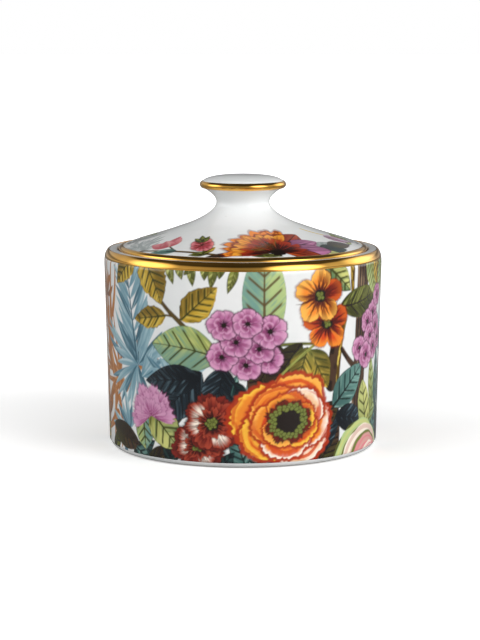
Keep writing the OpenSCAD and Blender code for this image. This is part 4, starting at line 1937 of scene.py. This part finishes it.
@dataclass
class Bowl:
    """The bowl, its gold rim and its printed wall, in millimetres."""

    shop: Workshop
    radius: float = 50.0
    height: float = 71.5
    taper: float = 1.6
    wall: float = 3.2
    floor: float = 5.2
    corner: float = 3.0
    inner_corner: float = 9.0
    foot_width: float = 3.0
    foot_hollow: float = 1.2
    rim_width: float = 1.9
    rim_height: float = 4.6
    seat_radius: float = 45.3
    seat_height: float = 69.3
    ledge_radius: float = 42.1
    ledge_under: float = 66.7
    ledge_blend: float = 62.2
    gild: float = 0.2
    gild_low: float = 68.6
    gild_top: float = 86.0
    print_low: float = 2.0
    columns: int = 288
    gold_columns: int = 360

    def outside(self, z: float) -> float:
        """Outside radius of the wall at a height."""
        return self.radius - self.taper + self.taper * z / self.shoulder[1]

    @property
    def shoulder(self) -> Point:
        """Middle of the rim's rounded edge."""
        return (self.radius - self.rim_width, self.height - self.rim_height)

    @property
    def gild_turn(self) -> float:
        """Angle on the rim's rounded edge where the gold starts."""
        return math.degrees(math.asin((self.gild_low - self.shoulder[1]) / self.rim_height))

    def _corner(self, start: float, end: float, steps: int) -> list[Point]:
        """Part of the lower corner."""
        middle = (self.outside(self.corner) - self.corner, self.corner)
        return arc(middle, self.corner, self.corner, start, end, steps)

    def profile(self) -> list[Point]:
        """The whole section of the bowl, from the middle of its underside round to its floor.

        Returns:
            Radius and height of each point.
        """
        foot_out = self.outside(self.corner) - self.corner
        foot_in = foot_out - self.foot_width
        inner = (self.outside(self.floor + self.inner_corner) - self.wall - self.inner_corner,
                 self.floor + self.inner_corner)
        soft = 0.5
        return [
            *straight((0, self.foot_hollow), (foot_in - self.foot_hollow - 0.4, self.foot_hollow), 8),
            *cubic((foot_in - 1.6, 1.2), (foot_in - 1.2, 1.2), (foot_in - 0.5, 0.2), (foot_in + 0.25, 0.05),
                6),
            (foot_in + 0.6, 0),
            (foot_out - 0.5, 0),
            *self._corner(-84, 0, 10),
            *straight((self.outside(self.corner), self.corner), self._rim(0, 1)[0], 10),
            *self._rim(0, 90),
            *arc((self.seat_radius + soft, self.height - soft), soft, soft, 90, 180, 6),
            *arc((self.seat_radius - 0.25, self.seat_height + 0.25), 0.25, 0.25, 0, -90, 4),
            *arc((self.ledge_radius + soft, self.seat_height - soft), soft, soft, 90, 180, 6),
            *arc((self.ledge_radius + 0.4, self.ledge_under + 0.4), 0.4, 0.4, 180, 240, 4),
            *straight((self.ledge_radius + 0.5, self.ledge_under - 0.4),
                      (self.outside(self.ledge_blend) - self.wall, self.ledge_blend - 0.5), 6),
            *straight((self.outside(self.ledge_blend) - self.wall, self.ledge_blend - 1.5),
                      (inner[0] + self.inner_corner, inner[1]), 8),
            *arc(inner, self.inner_corner, self.inner_corner, 0, -90, 14),
            *straight((inner[0], self.floor), (0, self.floor), 8)]

    def _rim(self, start: float, end: float) -> list[Point]:
        """Part of the rim's rounded edge."""
        return arc(self.shoulder, self.rim_width, self.rim_height, start, end, 14)

    def gold_band(self) -> list[Point]:
        """The closed section of the gold on the rim, feathered at both edges.

        Returns:
            Radius and height of each point.
        """
        steps, thinned, thinnest = 16, 2, 0.6
        inner = arc(self.shoulder, self.rim_width, self.rim_height, self.gild_turn, self.gild_top, steps)
        outer = []
        for k, (r, z) in enumerate(inner):
            turn = math.radians(self.gild_turn + (self.gild_top - self.gild_turn) * k / steps)
            thick = self.gild * min(1.0, thinnest + (1 - thinnest) * min(k, steps - k) / thinned)
            outer.append((r + thick * math.cos(turn), z + thick * math.sin(turn)))
        return [*outer, *inner[::-1], outer[0]]

    def print_line(self) -> list[Point]:
        """The outside of the bowl under the transfer.

        Returns:
            Radius and height of each point, upwards.
        """
        start = -math.degrees(math.asin(1 - self.print_low / self.corner))
        return without_doubles([
            *self._corner(start, 0, 6),
            *straight((self.outside(self.corner), self.corner), self.shoulder_foot, 12),
            *arc(self.shoulder, self.rim_width, self.rim_height, 0, self.gild_turn, 8)])

    @property
    def shoulder_foot(self) -> Point:
        """Where the wall meets the rim's rounded edge."""
        return (self.radius, self.shoulder[1])

    def build_ware(self) -> None:
        """Turns the porcelain and its gold band, and puts them on the body."""
        body = self.shop.lathe.turn("bowl_body", self.profile(), self.shop.porcelain, self.columns)
        place(body, "bowl", "bowl", "porcelain")
        band = self.shop.lathe.turn("bowl_rim_gold", self.gold_band(), self.shop.gold, self.gold_columns)
        place(band, "bowl", "bowl_rim_gilding", "gold")

    def dress(self) -> None:
        """Wraps the printed garden round the wall, and puts it on the body."""
        transfer = Transfer(
            "wall_print", self.print_line(), self.radius, panels=4, columns=315, rows=268,
            feather=0.4, laying=Laying.UNROLLED)
        for panel in transfer.lay(self.shop.wrapper, self.shop.printed, WallGarden().sheet()):
            place(panel, "bowl", "bowl_transfer", "wall_print")

    def build(self) -> None:
        """Builds and dresses the bowl."""
        self.build_ware()
        self.dress()


@dataclass
class Lid:
    """The lid with its knob, its two gold bands and its print, in millimetres."""

    shop: Workshop
    radius: float = 44.8
    top: float = 72.5
    round_width: float = 1.6
    round_height: float = 1.1
    wall: float = 3.0
    rise: float = 15.8
    seat: float = 69.3
    ring_radius: float = 41.3
    ring_inside: float = 38.7
    ring_low: float = 64.3
    neck_radius: float = 9.6
    knob_radius: float = 15.4
    knob_flare: float = 6.2
    knob_dome: float = 3.5
    knob_edge: float = 1.3
    hollow: float = 5.6
    gild: float = 0.2
    gild_low: float = 70.6
    plain_radius: float = 18.0
    strip: float = 0.15
    columns: int = 288
    gold_columns: int = 360
    knob_columns: int = 240

    @property
    def neck(self) -> Point:
        """The narrowest point of the neck."""
        return (self.neck_radius, self.top + self.rise)

    @property
    def edge(self) -> Point:
        """Middle of the rounded edge of the lid."""
        return (self.radius - self.round_width, self.top - self.round_height)

    @property
    def nose(self) -> Point:
        """Middle of the rounded edge of the knob."""
        return (self.knob_radius - 1.25 * self.knob_edge, self.neck[1] + self.knob_flare)

    def slope(self, span: Point = (0.0, 1.0), steps: int = 48) -> list[Point]:
        """The lid's slope from its edge to the neck.

        Args:
            span: first and last share of the slope.
            steps: how many steps.

        Returns:
            Radius and height of each point, inwards and upwards.
        """
        foot = (self.edge[0], self.top)
        run = foot[0] - self.neck_radius
        pull = (foot[0] - 0.155 * run, foot[1] + 0.16 * self.rise)
        return cubic(foot, pull, (self.neck[0], self.neck[1] - 0.46 * self.rise), self.neck, steps, span)

    def share(self, radius: float) -> float:
        """Finds how far up the slope a radius lies, by halving.

        Args:
            radius: the radius.

        Returns:
            The share of the slope.
        """
        low, high = 0.0, 1.0
        for _ in range(24):
            middle = (low + high) / 2
            if self.slope((middle, middle), 1)[0][0] > radius:
                low = middle
            else:
                high = middle
        return low

    def _nose(self, extra: float, steps: int = 14) -> list[Point]:
        """The rounded edge of the knob, with a thickness added."""
        return arc(self.nose, 1.25 * self.knob_edge + extra, self.knob_edge + extra, -60, 60, steps)

    def profile(self) -> list[Point]:
        """The whole section of the lid, from the top of its hollow round to the crown.

        Returns:
            Radius and height of each point.
        """
        low, high = self._nose(0)[0], self._nose(0)[-1]
        flare, dome, soft = self.knob_flare, self.knob_dome, 0.5
        crown = (0.0, self.nose[1] + dome)
        hollow_top = (self.hollow, self.neck[1] - 2)
        run = self.ring_inside - self.hollow
        under = (self.ring_inside, self.top - self.wall / 2)
        return [
            *arc((0, hollow_top[1]), self.hollow, 0.6 * self.hollow, 90, 0, 8),
            *cubic(under, (under[0] - 0.17 * run, under[1] + 0.1 * self.rise),
                   (hollow_top[0], hollow_top[1] - 0.52 * self.rise), hollow_top, 30)[::-1],
            *arc((self.ring_inside + soft, self.ring_low + soft), soft, soft, 180, 270, 5),
            *arc((self.ring_radius - soft, self.ring_low + soft), soft, soft, -90, 0, 5),
            *arc((self.ring_radius + 0.3, self.seat - 0.3), 0.3, 0.3, 180, 90, 3),
            *arc((self.radius - soft, self.seat + soft), soft, soft, -90, 0, 5),
            *arc(self.edge, self.round_width, self.round_height, 0, 90, 12),
            *self.slope(),
            *cubic(self.neck, (self.neck[0], self.neck[1] + 0.36 * flare),
                   (low[0] - 0.22 * flare, low[1] - 0.1 * flare), low, 16),
            *self._nose(0),
            *cubic(high, (high[0] - 0.09 * self.knob_radius, high[1] + 0.52 * dome),
                   (0.52 * self.knob_radius, crown[1]), crown, 20)]

    def edge_band(self) -> list[Point]:
        """The closed section of the gold on the edge of the lid.

        Returns:
            Radius and height of each point.
        """
        outer = arc(self.edge, self.round_width + self.gild, self.round_height + self.gild, 0, 84, 12)
        inner = arc(self.edge, self.round_width, self.round_height, 0, 88, 12)
        low = (self.radius, self.gild_low)
        return [(self.radius + self.gild, self.gild_low + 0.1), *outer, *inner[::-1], low,
                (self.radius + self.gild, self.gild_low + 0.1)]

    def knob_band(self) -> list[Point]:
        """The closed section of the gold round the knob.

        Returns:
            Radius and height of each point.
        """
        outer = self._nose(self.gild)
        inner = self._nose(0)
        return [*outer, *inner[::-1], outer[0]]

    def build_ware(self) -> None:
        """Turns the porcelain and its two gold bands, and puts them on the body."""
        body = self.shop.lathe.turn("lid_body", self.profile(), self.shop.porcelain, self.columns)
        place(body, "lid", "lid", "porcelain")
        edge = self.shop.lathe.turn("lid_edge_gold", self.edge_band(), self.shop.gold, self.gold_columns)
        place(edge, "lid", "lid_edge_gilding", "gold")
        knob = self.shop.lathe.turn("knob_gold", self.knob_band(), self.shop.gold, self.knob_columns)
        place(knob, "lid", "knob_gilding", "gold")

    def dress(self) -> None:
        """Lays the printed garden on the slope, and puts it on the body."""
        span = (self.share(self.edge[0] - self.strip), self.share(self.plain_radius))
        transfer = Transfer(
            "lid_print", self.slope(span, 40), self.edge[0], panels=2, columns=540, rows=108,
            feather=6.0, laying=Laying.FROM_ABOVE)
        for panel in transfer.lay(self.shop.wrapper, self.shop.printed, LidGarden().sheet()):
            place(panel, "lid", "lid_transfer", "lid_print")

    def build(self) -> None:
        """Builds and dresses the lid."""
        self.build_ware()
        self.dress()


# ---- studio


@dataclass(frozen=True)
class SoftBox:
    """A large soft light in metres and watts, seen on the ware as brightness and not as a mirror image."""

    name: str
    spot: tuple[float, float, float]
    size: Point
    power: float

    def hang(self, aim: Vector) -> None:
        """Hangs the light so that it faces a point.

        Args:
            aim: the point.
        """
        light = bpy.data.lights.new(self.name, "AREA")
        light.shape = "RECTANGLE"
        light.size, light.size_y = self.size
        light.energy = self.power
        box = stand(self.name, light)
        box.location = self.spot
        box.visible_glossy = False
        box.rotation_euler = (aim - Vector(self.spot)).to_track_quat("-Z", "Y").to_euler()


@dataclass(frozen=True)
class Room:
    """The surroundings: plain white to the camera, lit unevenly on the ware.

    Levels give the brightness from level to straight up, and each lamp is a bright patch one way.
    """

    levels: tuple[Point, ...] = ((0.0, 0.5), (0.13, 0.12), (0.2, 0.5), (0.5, 0.42), (0.62, 0.05), (1.0, 0.09))
    lamps: tuple[tuple[tuple[float, float, float], float], ...] = (
        ((0.68, -0.66, 0.36), 4.5),
        ((-0.98, -0.08, 0.3), 2.4),
        ((0.8, 0.5, 0.25), 1.6))
    patch: Point = (0.87, 0.99)
    tone: tuple[float, float, float, float] = (0.99, 0.995, 1.0, 1.0)

    def build(self) -> None:
        """Makes the surroundings and gives them to the scene."""
        world = bpy.data.worlds.new("studio")
        bpy.context.scene.world = world
        world.use_nodes = True
        nodes = Nodes(world.node_tree)
        strength = self._light(nodes, nodes.add("ShaderNodeTexCoord").outputs["Generated"])
        room = nodes.add("ShaderNodeBackground", {"Color": self.tone, "Strength": strength}).outputs[0]
        white = nodes.add("ShaderNodeBackground", {"Color": (1.0, 1.0, 1.0, 1.0), "Strength": 1.0}).outputs[0]
        seen = nodes.add("ShaderNodeLightPath").outputs["Is Camera Ray"]
        mixed = nodes.add("ShaderNodeMixShader", {0: seen, 1: room, 2: white}).outputs[0]
        nodes.add("ShaderNodeOutputWorld", {"Surface": mixed})

    def _light(self, nodes: Nodes, direction: Socket) -> Socket:
        """Builds the brightness of each direction.

        Args:
            nodes: the world's tree.
            direction: the direction.

        Returns:
            The brightness.
        """
        parts = nodes.add("ShaderNodeSeparateXYZ", {0: direction}).outputs
        steps = nodes.add("ShaderNodeValToRGB", {"Fac": parts[2]})
        stops = steps.color_ramp.elements
        for k, (where, level) in enumerate(self.levels):
            stop = stops[k] if k < 2 else stops.new(where)
            stop.position = where
            stop.color = (level, level, level, 1.0)
        sideways = nodes.spread(nodes.sum("ABSOLUTE", parts[0]), 0.1, 0.85, (0.7, 1.5))
        strength = nodes.sum("MULTIPLY", steps.outputs["Color"], sideways)
        for toward, power in self.lamps:
            inputs = {0: direction, 1: Vector(toward).normalized()}
            facing = nodes.add("ShaderNodeVectorMath", inputs, operation="DOT_PRODUCT").outputs["Value"]
            glow = nodes.sum("POWER", nodes.spread(facing, *self.patch, (0.0, 1.0)), 1.8)
            strength = nodes.sum("ADD", strength, nodes.sum("MULTIPLY", glow, power))
        return strength


@dataclass(frozen=True)
class Studio:
    """A pale floor, soft lights and the camera, in metres and degrees."""

    aim: tuple[float, float, float] = (-0.00105, 0.0, 0.045)
    distance: float = 0.8
    pitch: float = 8.2
    lens: float = 123.8
    sensor: float = 36.0
    floor_half: float = 6.0
    lights: tuple[SoftBox, ...] = (
        SoftBox("key", (0.78, -0.6, 0.5), (0.5, 0.6), 3.2),
        SoftBox("fill", (-0.75, -0.6, 0.75), (0.6, 0.6), 3.1),
        SoftBox("front", (0.1, -1.1, 0.3), (0.5, 0.4), 2.0))

    def build(self) -> None:
        """Sets out the floor, the surroundings, the lights and the camera."""
        self.floor()
        Room().build()
        for light in self.lights:
            light.hang(Vector(self.aim))
        self.camera()
        bpy.context.scene.view_settings.view_transform = "Standard"

    def floor(self) -> None:
        """Makes the pale floor."""
        half = self.floor_half
        corners = [(-half, -half, 0), (half, -half, 0), (half, half, 0), (-half, half, 0)]
        mesh = bpy.data.meshes.new("studio_floor")
        mesh.from_pydata(corners, [], [(0, 1, 2, 3)])
        mesh.materials.append(PaleFloor().material())
        stand("studio_floor", mesh)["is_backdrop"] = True

    def camera(self) -> None:
        """Sets the camera a little above the rim, level with the front."""
        made = bpy.data.cameras.new("camera")
        made.sensor_width = self.sensor
        made.lens = self.lens
        camera = stand("camera", made)
        down = math.radians(self.pitch)
        step = Vector((0, -self.distance * math.cos(down), self.distance * math.sin(down)))
        camera.location = Vector(self.aim) + step
        camera.rotation_euler = (math.pi / 2 - down, 0, 0)
        bpy.context.scene.camera = camera


def save_sizes() -> None:
    """Gathers the CAD box and the finished box as plain lists; nothing writes or compares them."""
    boxes = {"cad": CAD_BOX, "looks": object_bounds()}
    plain = {name: [list(map(float, corner)) for corner in box] for name, box in boxes.items()}


def main() -> None:
    """Builds the bowl, the lid and the studio in order."""
    logging.basicConfig(level=logging.INFO, format="%(message)s")
    shop = Workshop()
    Bowl(shop).build()
    Lid(shop).build()
    Studio().build()
    save_sizes()


if __name__ == "__main__":
    main()
